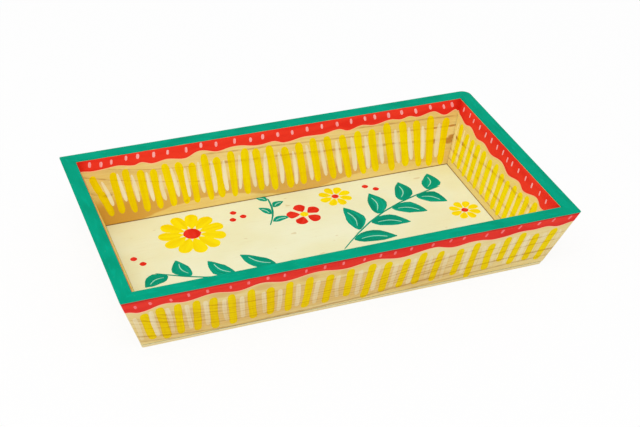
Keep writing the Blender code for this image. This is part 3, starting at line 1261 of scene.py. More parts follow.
OUTER_FRONT = FaceLayout(
    edge=(
        (-165, 10.6), (-158, 13.2), (-139, 8.6), (-126, 11.2), (-106, 7.9), (-89, 11.2), (-72, 7.4),
        (-55, 11), (-32, 7.4), (-12, 10.6), (10, 7), (30, 10.8), (55, 6.7), (71, 11), (87, 9), (105, 11.6),
        (126, 8.8), (134, 9.6), (143, 8.6), (155, 11), (166, 8.5),
    ),
    dots=(
        (-159.5, 6.5), (-149.5, 5.5), (-135.5, 6.3), (-123.5, 4.8), (-110.5, 4.7), (-94.5, 5.5), (-82, 4.7),
        (-68.5, 3.8), (-56.5, 4.3), (-41, 4.4), (-27.5, 4.4), (-14, 4.2), (1.5, 4.7), (13.5, 3.8),
        (24.5, 4.3), (36.5, 3.3), (53, 3.8), (66.5, 3), (77, 3.3), (95, 5), (107.5, 4.5), (121, 3.5),
        (136.5, 3.7), (148, 3), (161.5, 3.7),
    ),
    yellow=(
        (-153.8, -145, 15.5, 46.5), (-143.5, -135, 12, 49), (-131, -125.5, 12, 47), (-118, -114, 12.5, 47),
        (-106, -101, 13, 49), (-93.5, -88.5, 13.5, 48), (-79.5, -74, 12.5, 46.5), (-65.5, -62, 14.5, 46),
        (-51.5, -49, 13, 46.5), (-37, -37, 12, 46.5), (-21.5, -21.5, 14, 46), (-6.5, -6, 12.5, 43.5),
        (9.5, 8, 11.5, 49.5), (22, 21.5, 13, 47), (36.5, 34.5, 14, 46), (48.5, 47, 10.5, 46),
        (62.5, 60.5, 13, 46.5), (78, 77, 15, 45), (90.5, 89.5, 12, 51.5), (103.5, 103, 16.5, 46.5),
        (115.5, 113.5, 12.5, 40), (127, 123, 11, 46), (138.5, 135.5, 15, 45), (153, 145.5, 13, 47),
    ),
    cream=(
        (-160, -153, 18, 45), (-149, -142, 14, 44), (-138, -131.5, 14, 44), (-124.5, -119, 15, 43),
        (-111.5, -107, 15, 43), (-98, -93.5, 17, 43), (-85.5, -82, 18, 43), (-70, -66.5, 18, 43),
        (-58, -56.5, 19, 44), (-45, -43, 17, 43), (-30, -30, 18, 44), (-15, -13, 17, 42), (1.5, 2, 16, 44),
        (15, 14, 15, 43), (28.5, 28, 17, 44), (42, 41.5, 15, 44), (55, 55, 16, 43), (68, 68, 17, 46),
        (85, 84, 17, 45), (97, 96.5, 17, 44), (108.5, 108, 16, 43), (120.5, 118.5, 14, 44),
        (132, 130, 15, 44), (146, 142, 16, 43), (158, 153, 16, 43),
    ),
    dot_size=(2.2, 3.7),
    dot_lean=(-1.6, 2.0),
    widths=((5.9, 5.9), (4.0, 4.7)),
    heft=(0.0, 0.45),
)

INNER_BACK = FaceLayout(
    edge=(
        (-156, 7.8), (-147, 8.8), (-128, 7.6), (-116, 9.6), (-110, 8), (-102, 10.4), (-90, 8.9), (-77, 10.8),
        (-63, 6.6), (-50, 9.5), (-36, 7.7), (-16, 10.2), (-4, 9.1), (5, 11.6), (23, 9.6), (36, 10.2),
        (51, 8.2), (59, 10.6), (71, 8.2), (81, 9.7), (96, 7.5), (105, 8.8), (112, 7.4), (120, 9.1),
        (133, 6.7), (145, 11.3), (153.8, 8), (155.5, 9.4),
    ),
    dots=(
        (-149.5, 3.8), (-141, 4.8), (-133, 4.3), (-121.5, 3.2), (-112.5, 3.3), (-100, 4), (-89, 4),
        (-74.5, 4.5), (-62.5, 2.9), (-50.5, 4), (-35.5, 4), (-22.5, 5), (-12.5, 4.3), (0, 4.5), (12, 4.8),
        (24.5, 4.2), (37, 4), (50, 4.2), (62, 3.8), (74, 3.5), (82.5, 3.5), (94.5, 4), (106, 3.5),
        (118.5, 4.3), (131.5, 3.2), (143.5, 4.5), (151, 4),
    ),
    yellow=(
        (-149.5, -143.2, 12.5, 28), (-144.7, -136.8, 24.5, 44.5), (-133.2, -129, 12, 44),
        (-123.6, -118.9, 11, 45), (-112.3, -109.3, 13.5, 46), (-102.3, -98.9, 14.5, 45.5),
        (-93.2, -88.3, 12, 45.5), (-82.6, -77.9, 12.5, 45.5), (-71.5, -69.7, 14.5, 46),
        (-61.5, -58.2, 9.5, 46), (-51.7, -49.2, 13.5, 45.5), (-40, -39, 10.8, 46.5),
        (-28.2, -28.5, 10.5, 46.5), (-19.6, -17, 12, 45.5), (-8.5, -5.5, 11.5, 47), (4, 7.5, 14.5, 47.5),
        (16, 18.5, 13, 46.5), (28, 30.5, 11.5, 46.5), (40, 44, 12, 46.5), (53, 57, 13, 48),
        (66.5, 70, 12, 47), (79, 80.5, 12.5, 47), (92, 94.5, 9.5, 48.5), (106, 106.5, 10.5, 47),
        (118.5, 118, 11.5, 49), (131.5, 127, 9.8, 50), (146, 137, 13.5, 50.5),
    ),
    cream=(
        (-142.3, -135.5, 17.5, 37), (-129.8, -125, 13.5, 35.5), (-119, -115.5, 16, 37.5),
        (-107.4, -104, 16, 39), (-97, -94.5, 20, 40), (-88.2, -84, 16, 39), (-77.3, -75.5, 18, 40.5),
        (-66.4, -63.5, 15, 39.5), (-56, -54.5, 16, 41), (-46, -45, 17, 41), (-33, -34.5, 15, 41.5),
        (-23.5, -22, 14, 42), (-12, -12.5, 17, 43), (-1, 0.5, 18, 43), (11, 12, 19, 45.5),
        (22.5, 25.5, 16, 44.5), (34.5, 37.5, 16, 43), (48, 50, 17, 43.5), (61, 62.5, 16, 43.5),
        (73, 74, 17, 43.5), (86, 86.5, 16, 41.5), (99.5, 101, 16, 43.5), (111.5, 112, 16, 42.5),
        (124, 121.5, 17, 43.5), (139, 133.5, 17, 44),
    ),
    dot_lean=(0.8, -1.0),
    widths=((5.9, 7.2), (3.4, 4.8)),
)

INNER_RIGHT = FaceLayout(
    edge=(
        (-81, 9.2), (-78, 11), (-66, 13.3), (-57, 11.2), (-44, 14.3), (-32, 12.3), (-19, 14.6), (-2, 11.8),
        (13, 15.4), (28, 12.4), (37.5, 15), (55, 10.2), (64.5, 13.6), (74, 12), (81, 10),
    ),
    dots=(
        (-74.5, 5), (-63.5, 4.5), (-56, 5.5), (-45, 5.3), (-34, 6), (-24, 5.5), (-14, 5.8), (-4.5, 5.2),
        (4, 6.8), (11.5, 6), (22, 6), (33.5, 6), (43.5, 6.2), (55.5, 5.7), (66, 6.5),
    ),
    yellow=(
        (-69, -62, 15, 47), (-56, -52, 17, 46.5), (-46.5, -42, 17, 47.5), (-37, -32.5, 16, 47),
        (-26.5, -22, 16, 47), (-15, -11, 17, 46), (-5, -1, 15.5, 46.5), (6, 9, 17.5, 47), (16, 18, 18, 47),
        (26.5, 28, 16.2, 47), (36, 36.5, 16.5, 47), (45, 44.5, 14.5, 47), (57, 54, 12.8, 47),
        (67, 62, 15, 47),
    ),
    cream=(
        (-74, -66.5, 17, 44), (-62.5, -57, 17, 43), (-52.5, -47, 18, 43), (-42.5, -37.5, 19, 44),
        (-32.5, -28, 18, 43), (-21.5, -17, 18, 43), (-10, -6.5, 20, 42), (0.5, 3.5, 20, 43),
        (11.5, 13.5, 20, 43), (21.5, 22.5, 20, 43), (31.5, 32, 20, 43), (41.5, 41, 18, 43),
        (51.5, 49.5, 17, 43), (61.5, 58, 17, 43),
    ),
    dot_size=(2.1, 4.1),
    dot_lean=(-0.4, -0.8),
    widths=((6.1, 7.0), (3.4, 3.9)),
    heft=(0.35, 0.75),
    drop=0.6,
)

# How far below the rim the red band ends at the corners, from the front left one counterclockwise and back
OUTER_CORNERS = (10.6, 8.5, 9.5, 9.5, 10.6)
INNER_CORNERS = (9.0, 10.0, 9.4, 7.8, 9.0)
BAND_DEPTH = 10 * MM
# Where the paint's rows of points lie across the rim and down the red band, as parts of their width
RIM_ROWS = (0.02, 0.05, 0.2, 0.4, 0.6, 0.8, 0.95, 0.98)
BAND_ROWS = (0.0, 0.03, 0.25, 0.5, 0.75, 0.91, 1.0)
# The numbers by which the strokes of each colour and the dots draw their own unsteadiness
YELLOW_MARKS, CREAM_MARKS, DOT_MARKS = 0, 1, 5


class Outline:
    """The tray's outline in plan, walked once round counterclockwise from the front left corner."""

    def __init__(self, sizes: TraySizes, step: float) -> None:
        """Lays the stations.

        Args:
            sizes: The tray's sizes.
            step: Distance between stations along the straight sides.
        """
        self.sizes = sizes
        shares, offsets, self.side, self.at = [], [], [], []
        for number, side in enumerate(Side):
            half = sizes.half_along(side)
            share, offset = side_stations(sizes.worn_corner, round(2 * half / step))
            shares.append(share)
            offsets.append(offset)
            self.side.append(np.full(len(share), number))
        self.share, self.offset, self.side = (np.concatenate(x) for x in (shares, offsets, self.side))
        self.onward = np.array([side.onward[:2] for side in Side])[self.side]
        self.outward = np.array([side.outward[:2] for side in Side])[self.side]
        nominal = np.array((sizes.half_length, sizes.half_width))
        at = self.share * (nominal * np.abs(self.onward)).sum(-1) + self.offset
        corner = self.onward * at[:, None] + self.outward * nominal
        by_worn = (corner > nominal - 2 * sizes.worn_corner).all(-1)
        self.radius = np.where(by_worn, sizes.worn_corner, sizes.sharp_corner)
        self.run = np.concatenate(([0.0], np.cumsum(np.linalg.norm(np.diff(corner, axis=0), axis=-1))))

    @property
    def turn(self) -> np.ndarray:
        """Each station's place as a part of the whole way round."""
        return self.run / (self.run[-1] + self.run[1])

    def at_stations(self, side: int, inset: float, inside: bool) -> np.ndarray:
        """Where the stations of a side lie along its face."""
        here = self.side == side
        half = self.sizes.half_along(list(Side)[side]) - inset
        at = self.share[here] * half + self.offset[here]
        return -at if inside else at

    def points(self, inset: np.ndarray, height: np.ndarray) -> np.ndarray:
        """Points round the tray.

        The outline is the rectangle of the outer faces at that height, drawn in by the inset, with its
        corners rounded by what the inset leaves of their radius.

        Args:
            inset: Level depth under the outer faces, (rows, stations) or what broadcasts to it.
            height: Height, likewise.

        Returns:
            Points, (rows, stations, 3).
        """
        inset, height, _ = np.broadcast_arrays(inset, height, self.share)
        drawn_in = (self.sizes.flare(height) + inset)[..., None]
        halves = np.array((self.sizes.half_length, self.sizes.half_width)) - drawn_in
        along = self.share * (halves * np.abs(self.onward)).sum(-1) + self.offset
        flat = self.onward * along[..., None] + self.outward * halves
        radius = np.maximum(self.radius - inset, LEAST_RADIUS)[..., None]
        flat = rounded(flat, -halves, halves, radius)
        return np.concatenate((flat, height[..., None]), -1)

    def film(self, inset: np.ndarray, height: np.ndarray) -> Shell:
        """A closed film of paint that runs all the way round, from rows across it."""
        points = self.points(inset, height)
        rows, stations = points.shape[:2]
        across = np.broadcast_to(np.linspace(-1, 1, rows)[:, None], (rows, stations))
        run = np.broadcast_to(self.run, (rows, stations))
        brush = np.stack((run, across, np.broadcast_to(self.side / len(Side), (rows, stations))), -1)
        quads = grid_quads(rows, stations, True, True).tolist()
        return Shell(points.reshape(-1, 3), quads, brush.reshape(-1, 3))


@dataclass
class Board:
    """One splayed board: its section carried from end to end, with eased arrises and flat ends."""

    sizes: TraySizes
    pine: Pine
    step: float = 8 * MM
    section_steps: int = 4

    @property
    def side(self) -> Side:
        """The side of the tray that the board makes."""
        return self.pine.side

    def section(self) -> np.ndarray:
        """(inset, height) points round the section, on its square outline before the arrises are eased."""
        sizes = self.sizes
        low = np.array((sizes.skin, sizes.foot))
        high = np.array((sizes.across, sizes.rim))
        share, offset = side_stations(sizes.top_arris, self.section_steps)
        half = (high - low) / 2
        along = share[:, None] * half + offset[:, None]
        foot = np.stack((along[:, 0], -half[1] * np.ones(len(share))), -1)
        inner = np.stack((half[0] * np.ones(len(share)), along[:, 1]), -1)
        return (low + high) / 2 + np.concatenate((foot, inner, -foot, -inner))

    def ends(self, height: np.ndarray) -> np.ndarray:
        """Half the board's length at a height."""
        reach = self.sizes.half_along(self.side) - self.sizes.flare(height)
        return reach - (self.sizes.skin if self.side.is_long else self.sizes.across + self.sizes.corner_joint)

    def end_radius(self, back_right: bool, outer: bool) -> float:
        """Radius of the upright arris at one end of the board, on its outer or its inner face."""
        if not outer or not self.side.is_long:
            return self.sizes.end_arris
        return self.sizes.worn_corner if back_right else self.sizes.sharp_corner

    def build(self) -> bpy.types.Object:
        """Makes the board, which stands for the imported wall."""
        sizes = self.sizes
        section = sizes.section(self.section())
        inset, height = section[:, 0], section[:, 1]
        share, offset = side_stations(sizes.worn_corner, round(2 * sizes.half_along(self.side) / self.step))
        share, offset = np.append(share, 1.0), np.append(offset, 0.0)
        from_end = np.where(share == 1, -offset, np.where(share == -1, offset, 1.0))[:, None]

        def arc(radius: np.ndarray) -> np.ndarray:
            """How far a rounded arris draws a face in at this distance from the end."""
            left = np.clip(radius - from_end, 0, None)
            return radius - np.sqrt(radius**2 - left**2)

        toward_right = (share[:, None] * self.side.onward[0]) > 0
        back_right = (self.side is Side.BACK) & toward_right
        outer = arc(np.where(back_right, self.end_radius(True, True), self.end_radius(False, True)))
        inner = arc(np.array(sizes.end_arris))
        thickness = sizes.across - sizes.skin
        depth = (inset - sizes.skin) / thickness
        inset = sizes.skin + outer + depth * (thickness - outer - inner)
        top = arc(np.array(sizes.top_arris)) if self.side.is_long else 0.0
        height = np.minimum(height, sizes.rim - top)
        height = np.broadcast_to(height, inset.shape)
        along = share[:, None] * self.ends(height) + offset[:, None]
        level = sizes.half(self.side) - sizes.flare(height) - inset
        flat = self.side.onward * along[..., None] + self.side.outward * level[..., None]
        points = flat + UP * height[..., None]
        stations, around = inset.shape
        faces = grid_quads(stations, around, False, True).tolist()
        faces += [list(range(around)), list(range((stations - 1) * around, stations * around))]
        shell = Shell(points.reshape(-1, 3), faces, np.zeros((stations * around, 3)))
        board = shell.piece(f"{self.side.title}_board", self.pine.material(), "pine")
        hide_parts(f"{self.side.title}_wall")
        return board


@dataclass
class PaintedFaces:
    """The strokes and dots on the boards, and the red band and the green rim that run round the tray.

    `red_from` is how far below the rim the red band starts inside, on each side of the tray, and `green_to`
    how far down the green reaches there, both in millimetres. `outer_red_from` and `outer_green_to` are the
    same outside. `soft_edge` is how far the red's pale soft edge reaches below the edge that the layouts
    give, outside and inside. A name that ends in `_waver` is how far the hand drifts, in as many waves round
    the tray as `waves` or `scallop_waves` allows, and one in `_spread` is a size's least and greatest part.
    """

    sizes: TraySizes
    outline: Outline
    pines: dict[Side, Pine]
    film: float = 0.08 * MM
    rim_film: float = 0.12 * MM
    dot_film: float = 0.12 * MM
    sunk: float = 0.01 * MM
    soft_edge: tuple[float, float] = (0.95, 0.65)
    red_from: tuple[float, ...] = (0.5, 1.22, 0.64, 0.58)
    green_to: tuple[float, ...] = (0.36, 0.95, 0.5, 0.36)
    outer_red_from: float = 0.52
    outer_green_to: float = 0.62
    red_waver: float = 0.07
    green_waver: float = 0.05
    outer_green_waver: float = 0.07
    scallop_waver: float = 0.08
    waves: tuple[int, int] = (15, 120)
    scallop_waves: tuple[int, int] = (15, 90)
    margin: float = 0.08 * MM
    dot_lean_off: float = 0.3
    dot_length_spread: tuple[float, float] = (0.88, 1.12)
    dot_width_spread: tuple[float, float] = (0.85, 1.15)
    dot_rows: int = 7
    yellow_bow: float = 0.35 * MM
    cream_bow: float = 0.5 * MM
    seed: int = 11
    layouts: dict[tuple[Side, bool], FaceLayout] = field(default_factory=dict)

    def __post_init__(self) -> None:
        """Lays out the faces, those that the photo hides by the brush's rule."""
        random = np.random.default_rng(self.seed)
        front, back, right = (Side.FRONT, False), (Side.BACK, True), (Side.RIGHT, True)
        seen = {front: OUTER_FRONT, back: INNER_BACK, right: INNER_RIGHT}
        for number, side in enumerate(Side):
            for inside, depths in ((False, OUTER_CORNERS), (True, INNER_CORNERS)):
                half = (self.sizes.half_along(side) - self.band_inset(inside)) / MM
                corners = (depths[number], depths[number + 1])
                made = BrushRule(half, random).layout(corners[::-1] if inside else corners)
                made = made if inside else replace(made, heft=OUTER_FRONT.heft)
                self.layouts[side, inside] = seen.get((side, inside), made)

    def band_inset(self, inside: bool) -> float:
        """How much closer to the middle a face is at the band's lower edge than the outline at the rim."""
        return self.sizes.slope * BAND_DEPTH + (self.sizes.across if inside else 0.0)

    def hand(self, number: int, side: Side, inside: bool) -> np.random.Generator:
        """The source of the hand's unsteadiness for one kind of mark on one face."""
        return np.random.default_rng([self.seed, number, side.value[0] + 1, side.value[1] + 1, inside])

    def rim(self) -> bpy.types.Object:
        """Green paint over the rim, wrapped round both arrises with an unsteady edge."""
        sizes, turn = self.sizes, self.outline.turn
        random = np.random.default_rng(self.seed + 1)
        inner = np.array(self.green_to)[self.outline.side]
        inner = inner + self.green_waver * waver(turn, random, *self.waves)
        outer = self.outer_green_to + self.outer_green_waver * waver(turn, random, *self.waves)
        inner, outer = (np.maximum(reach * MM, 3 * self.margin) for reach in (inner, outer))
        up = [inner, inner - self.margin, inner / 2, 0 * turn]
        down = [0 * turn, outer / 2, outer - self.margin, outer]
        over = np.array(RIM_ROWS)
        level = np.concatenate((np.ones(len(up)), 1 - over, np.zeros(len(down))))[:, None]
        inset = sizes.skin + level * (sizes.across - sizes.skin) + 0 * turn
        height = sizes.rim - np.concatenate((up, np.zeros((len(over), len(turn))), down))
        lift = np.full((len(height), 1), self.rim_film)
        lift[[0, -1]] = -self.sunk
        section = sizes.section(np.stack((inset, height), -1), lift[..., None])
        shell = self.outline.film(section[..., 0], section[..., 1])
        return shell.piece("rim_paint", GREEN.over(self.pines[Side.LEFT], "rim"), GREEN.slot)

    def band(self, inside: bool) -> bpy.types.Object:
        """Red band under the rim, with its scalloped lower edge, round the inside or the outside."""
        random = np.random.default_rng(self.seed + 2 + inside)
        sizes, turn = self.sizes, self.outline.turn
        lower = []
        for number, side in enumerate(Side):
            at = self.outline.at_stations(number, self.band_inset(inside), inside)
            layout = self.layouts[side, inside]
            lower.append(eased(at / MM, layout.edge) + layout.drop + self.soft_edge[inside])
        lower = (np.concatenate(lower) + self.scallop_waver * waver(turn, random, *self.scallop_waves)) * MM
        upper = np.array(self.red_from)[self.outline.side] if inside else self.outer_red_from
        upper = (upper + self.red_waver * waver(turn, random, *self.waves)) * MM
        share = np.array(BAND_ROWS)[:, None]
        height = sizes.height - upper - (lower - upper) * share
        lift = np.full((len(share), 1), self.film)
        lift[[0, -1]] = -self.sunk
        lift = lift / math.cos(sizes.splay)
        inset = sizes.across + lift if inside else sizes.skin - lift
        shell = self.outline.film(inset, height)
        # Outside, the band takes the darker copy of the red, painted shade.
        place, paint = ("inner", INNER_RED) if inside else ("outer", SHADED_OUTER_RED)
        return shell.piece(f"{place}_red_band", paint.over(self.pines[Side.LEFT], place), paint.slot)

    def dots(self, side: Side, inside: bool) -> Shell:
        """Pale dots along the red band on one face."""
        layout = self.layouts[side, inside]
        random = self.hand(DOT_MARKS, side, inside)
        at, below = np.array(layout.dots).T
        count = len(at)
        width, length = layout.dot_size
        lean = np.interp(at, (at.min(), at.max()), layout.dot_lean)
        lean = lean + random.uniform(-self.dot_lean_off, self.dot_lean_off, count)
        half = length / 2 * random.uniform(*self.dot_length_spread, count)
        start = np.stack((at + lean / 2, below - half), -1) * MM
        end = np.stack((at - lean / 2, below + half), -1) * MM
        widths = width * MM * random.uniform(*self.dot_width_spread, count)
        strokes = Strokes(
            start, end, widths, np.zeros(count),
            rows=self.dot_rows, thickness=self.dot_film, sunk=-self.film / 2,
        )
        return strokes.shell(Face(self.sizes, side, inside, layout.drop * MM), random)

    def strokes(self, side: Side, number: int, paint: Paint, tips: tuple[Tip, Tip], bow: float) -> None:
        """Strokes of one colour on both faces of a board.

        Args:
            side: The board's side.
            number: Which of the layouts' colours it is.
            paint: The paint.
            tips: Outline of the strokes outside and inside.
            bow: How far a stroke bows aside, more or less, in metres.
        """
        shells = []
        for inside, tip in zip((False, True), tips):
            random = self.hand(number, side, inside)
            layout = self.layouts[side, inside]
            marks = (layout.yellow, layout.cream)[number]
            strokes = Strokes.marks(marks, layout.widths[number], random, tip, bow)
            strokes.heft = layout.heft
            shells.append(strokes.shell(Face(self.sizes, side, inside, layout.drop * MM), random))
        material = paint.over(self.pines[side], side.title)
        Shell.joined(shells).piece(f"{side.title}_{paint.title}_strokes", material, paint.slot)

    def build(self) -> None:
        """Paints the boards."""
        self.rim()
        for inside in (False, True):
            self.band(inside)
            shell = Shell.joined(self.dots(side, inside) for side in Side)
            place, paint = ("inner", PINK) if inside else ("outer", ROSE)
            shell.piece(f"{place}_band_dots", paint.over(self.pines[Side.LEFT], "band"), paint.slot)
        for side in Side:
            # The right board's strokes take the lighter copies of the paints: painted light on its inner
            # face.
            yellow, cream = (LIT_YELLOW, LIT_CREAM) if side is Side.RIGHT else (YELLOW, CREAM)
            self.strokes(side, YELLOW_MARKS, yellow, (Tip.ROUND, Tip.BRUSHED), self.yellow_bow)
            self.strokes(side, CREAM_MARKS, cream, (Tip.ROUND, Tip.TAPERED), self.cream_bow)


class Coat(Enum):
    """What is painted on the tray's floor, coat by coat: its paint, and its thickness in millimetres."""

    STEM = (LEAF_GREEN, 0.07)
    LEAF = (LEAF_GREEN, 0.1)
    PETAL = (PETAL_YELLOW, 0.13)
    BERRY = (BERRY_RED, 0.16)
    RIB = (MINT, 0.2)
    EYE = (PETAL_YELLOW, 0.2)


@dataclass
class FloorGarden:
    """Leaf sprays, blooms and berries painted on the tray's floor, in millimetres from its middle.

    A stem's leaves, `leaf` long and wide, stand from `first_leaf` to `last_leaf` along it, and are shorter by
    `shortens` at its tip. They start a `stalk` away from it. A midrib takes up the `rib` part of its leaf,
    and a petal the part of its bloom's radius from `petal_from` on.
    """

    sizes: TraySizes
    plywood: Plywood
    seed: int = 23
    leaf: tuple[float, float] = (27.0, 11.5)
    leaf_angle: float = math.radians(52)
    leaf_bow: float = 2.2
    first_leaf: float = 0.12
    last_leaf: float = 0.9
    shortens: float = 0.35
    stalk: float = 1.5
    stem_width: float = 1.7
    rib: tuple[float, float] = (0.16, 0.78)
    rib_width: float = 1.0
    rib_bow: float = 1.8
    petal_turn: float = 0.3
    petal_from: float = 0.25
    petal_bow: float = 0.3
    berry: float = 5.4
    spot_lean: float = 0.25
    strokes: dict[str, list[Strokes]] = field(default_factory=dict)

    def surface(self, x: np.ndarray, y: np.ndarray, lift: np.ndarray) -> np.ndarray:
        """Points on the panel's upper face."""
        return np.stack((x, y, self.sizes.panel + lift), -1)

    def add(self, coat: Coat, start: np.ndarray, end: np.ndarray, width: float, bow: float, tip: Tip) -> None:
        """Adds strokes of one width and bow, in millimetres, to a coat."""
        start, end = np.atleast_2d(start) * MM, np.atleast_2d(end) * MM
        widths, bows = np.full(len(start), width * MM), np.full(len(start), bow * MM)
        paint, thickness = coat.value
        strokes = Strokes(start, end, widths, bows, tip, thickness=thickness * MM)
        self.strokes.setdefault(paint.title, []).append(strokes)

    def spray(
        self, root: tuple[float, float], tip: tuple[float, float], bow: float, pairs: int, size: float
    ) -> None:
        """A bowed stem with leaves on alternate sides and pale midribs.

        The stem is a straight line bowed aside by a half sine wave. Its leaves leave it at an equal angle
        to either side and get shorter towards its tip.

        Args:
            root: Where the stem starts.
            tip: Where it ends.
            bow: How far it bows aside.
            pairs: Number of leaves on each side.
            size: Leaf size, as a part of the full size.
        """
        root, tip = np.array(root, float), np.array(tip, float)
        reach = tip - root
        aside = np.array((-reach[1], reach[0])) / np.linalg.norm(reach)
        self.add(Coat.STEM, root, tip, self.stem_width, bow, Tip.TAPERED)
        share = np.linspace(self.first_leaf, self.last_leaf, 2 * pairs)
        base = root + reach * share[:, None] + aside * (bow * np.sin(np.pi * share))[:, None]
        turn = np.arctan(bow * np.pi * np.cos(np.pi * share) / np.linalg.norm(reach))
        hand = np.where(np.arange(2 * pairs) % 2, 1.0, -1.0)
        angle = np.arctan2(reach[1], reach[0]) + turn + hand * self.leaf_angle
        length = self.leaf[0] * size * (1 - self.shortens * share)
        out = np.stack((np.cos(angle), np.sin(angle)), -1)
        for side in (-1.0, 1.0):
            mine = hand == side
            start, end = base[mine] + out[mine] * self.stalk, base[mine] + out[mine] * length[mine, None]
            self.add(Coat.LEAF, start, end, self.leaf[1] * size, -self.leaf_bow * side * size, Tip.LEAF)
            first, last = (start + (end - start) * part for part in self.rib)
            self.add(Coat.RIB, first, last, self.rib_width, -self.rib_bow * side * size, Tip.TAPERED)

    def bloom(self, coat: Coat, middle: tuple[float, float], petals: int, reach: float, width: float) -> None:
        """Petals of one size all round a middle, out to a radius."""
        angle = 2 * np.pi * (np.arange(petals) + self.petal_turn) / petals
        out = np.stack((np.cos(angle), np.sin(angle)), -1) * reach
        self.add(coat, middle + out * self.petal_from, middle + out, width, self.petal_bow, Tip.PETAL)

    def spots(self, coat: Coat, places: Pairs, width: float) -> None:
        """Round spots of one width, each a short stroke that leans a little."""
        places = np.array(places, float)
        half = np.array((self.spot_lean, width / 2 - self.spot_lean))
        self.add(coat, places - half, places + half, width, 0.0, Tip.ROUND)

    def build(self) -> None:
        """Lays out the garden and paints it, a colour at a time."""
        self.spray((18, -18), (124, 40), 10, 4, 1.35)
        self.spray((-22, -18), (-124, -2), 12, 3, 1.2)
        self.spray((-24, 30), (-14, 66), -3, 2, 0.62)
        self.spray((26, -46), (120, -34), 3, 3, 0.75)
        self.bloom(Coat.PETAL, (-84, 38), 11, 26, 11)
        self.bloom(Coat.PETAL, (38, 52), 8, 13.5, 7)
        self.bloom(Coat.PETAL, (128, 2), 8, 12.5, 6.5)
        self.bloom(Coat.PETAL, (-6, -50), 9, 15, 8)
        self.bloom(Coat.BERRY, (6, 36), 5, 14, 10.5)
        self.bloom(Coat.BERRY, (-116, -54), 5, 12, 9)
        self.spots(Coat.BERRY, ((-84, 38),), 14)
        self.spots(Coat.BERRY, ((38, 52), (128, 2), (-6, -50)), 6)
        berries = ((-46, 55), (-40, 48), (-49, 46), (66, 58), (73, 52), (-134, 20), (-129, 12))
        self.spots(Coat.BERRY, berries, self.berry)
        self.spots(Coat.BERRY, ((-41, -52), (-34, -58), (128, -49), (133, -41)), self.berry)
        self.spots(Coat.EYE, ((6, 36), (-116, -54)), 7)
        for paint in (LEAF_GREEN, PETAL_YELLOW, BERRY_RED, MINT):
            random = np.random.default_rng([self.seed, len(self.strokes[paint.title])])
            shell = Shell.joined(strokes.shell(self.surface, random) for strokes in self.strokes[paint.title])
            shell.piece(f"floor_{paint.title}_strokes", paint.over(self.plywood, "floor"), paint.slot)


@dataclass(frozen=True)
class Studio:
    """Camera, soft lamp, pale surroundings and a white floor that keeps a faint shadow."""

    camera_place: tuple[float, float, float] = (-0.3111, -0.79071, 0.60061)
    looks_at: tuple[float, float, float] = (0.01933, 0.03651, 0.0)
    roll: float = math.radians(1.925)
    lens: float = 77.23
    sensor: float = 36.0
    floor_half: float = 2.0
    floor_drop: float = 0.1 * MM
    floor_albedo: float = 0.92
    floor_roughness: float = 0.9
    floor_glow: float = 0.9
    world_strength: float = 0.72
    lamp_place: tuple[float, float, float] = (-0.6, -0.92, 1.98)
    lamp_size: float = 1.4
    lamp_power: float = 19.5

    def camera(self) -> None:
        """A camera aimed at the tray and turned a little about its own axis."""
        data = bpy.data.cameras.new("camera")
        data.lens = self.lens
        data.sensor_width = self.sensor
        camera = bpy.data.objects.new("camera", data)
        forward = Vector(self.looks_at) - Vector(self.camera_place)
        turn = forward.to_track_quat("-Z", "Y").to_matrix().to_4x4()
        roll = Matrix.Rotation(self.roll, 4, "Z")
        camera.matrix_world = Matrix.Translation(self.camera_place) @ turn @ roll
        bpy.context.scene.collection.objects.link(camera)
        bpy.context.scene.camera = camera

    def lights(self) -> None:
        """An even white world, and one large lamp in front, to the left and above."""
        world = bpy.data.worlds.new("studio")
        world.use_nodes = True
        background = world.node_tree.nodes["Background"]
        background.inputs["Color"].default_value = (1.0, 1.0, 1.0, 1.0)
        background.inputs["Strength"].default_value = self.world_strength
        bpy.context.scene.world = world
        data = bpy.data.lights.new("softbox", "AREA")
        data.size = self.lamp_size
        data.energy = self.lamp_power
        lamp = bpy.data.objects.new("softbox", data)
        turn = (Vector(self.looks_at) - Vector(self.lamp_place)).to_track_quat("-Z", "Y")
        lamp.matrix_world = Matrix.Translation(self.lamp_place) @ turn.to_matrix().to_4x4()
        bpy.context.scene.collection.objects.link(lamp)

    def floor(self) -> None:
        """A plane that looks white to the camera and in reflections, less the shadow that falls on it."""
        half, z = self.floor_half, -self.floor_drop
        corners = [(-half, -half, z), (half, -half, z), (half, half, z), (-half, half, z)]
        mesh = bpy.data.meshes.new("floor")
        mesh.from_pydata(corners, [], [(0, 1, 2, 3)])
        graph = Graph("floor_white")
        albedo = self.floor_albedo
        graph.feed(graph.shader.inputs["Base Color"], (albedo, albedo, albedo))
        graph.feed(graph.shader.inputs["Roughness"], self.floor_roughness)
        graph.feed(graph.shader.inputs["Specular IOR Level"], 0.0)
        rays = graph.node("ShaderNodeLightPath").outputs
        seen = [Signal(graph, rays[f"Is {kind} Ray"]) for kind in ("Camera", "Glossy", "Transmission")]
        share = (seen[0] + seen[1] + seen[2]) * self.floor_glow
        glow = graph.node("ShaderNodeEmission")
        blend = graph.node("ShaderNodeMixShader")
        graph.feed(blend.inputs[0], share)
        graph.feed(blend.inputs[1], graph.shader.outputs[0])
        graph.feed(blend.inputs[2], glow.outputs[0])
        graph.feed(graph.nodes["Material Output"].inputs["Surface"], blend.outputs[0])
        mesh.materials.append(graph.material)
        floor = bpy.data.objects.new("floor", mesh)
        bpy.context.scene.collection.objects.link(floor)

    def build(self) -> None:
        """Sets up the studio."""
        bpy.context.scene.view_settings.view_transform = "Standard"
        self.camera()
        self.lights()
        self.floor()


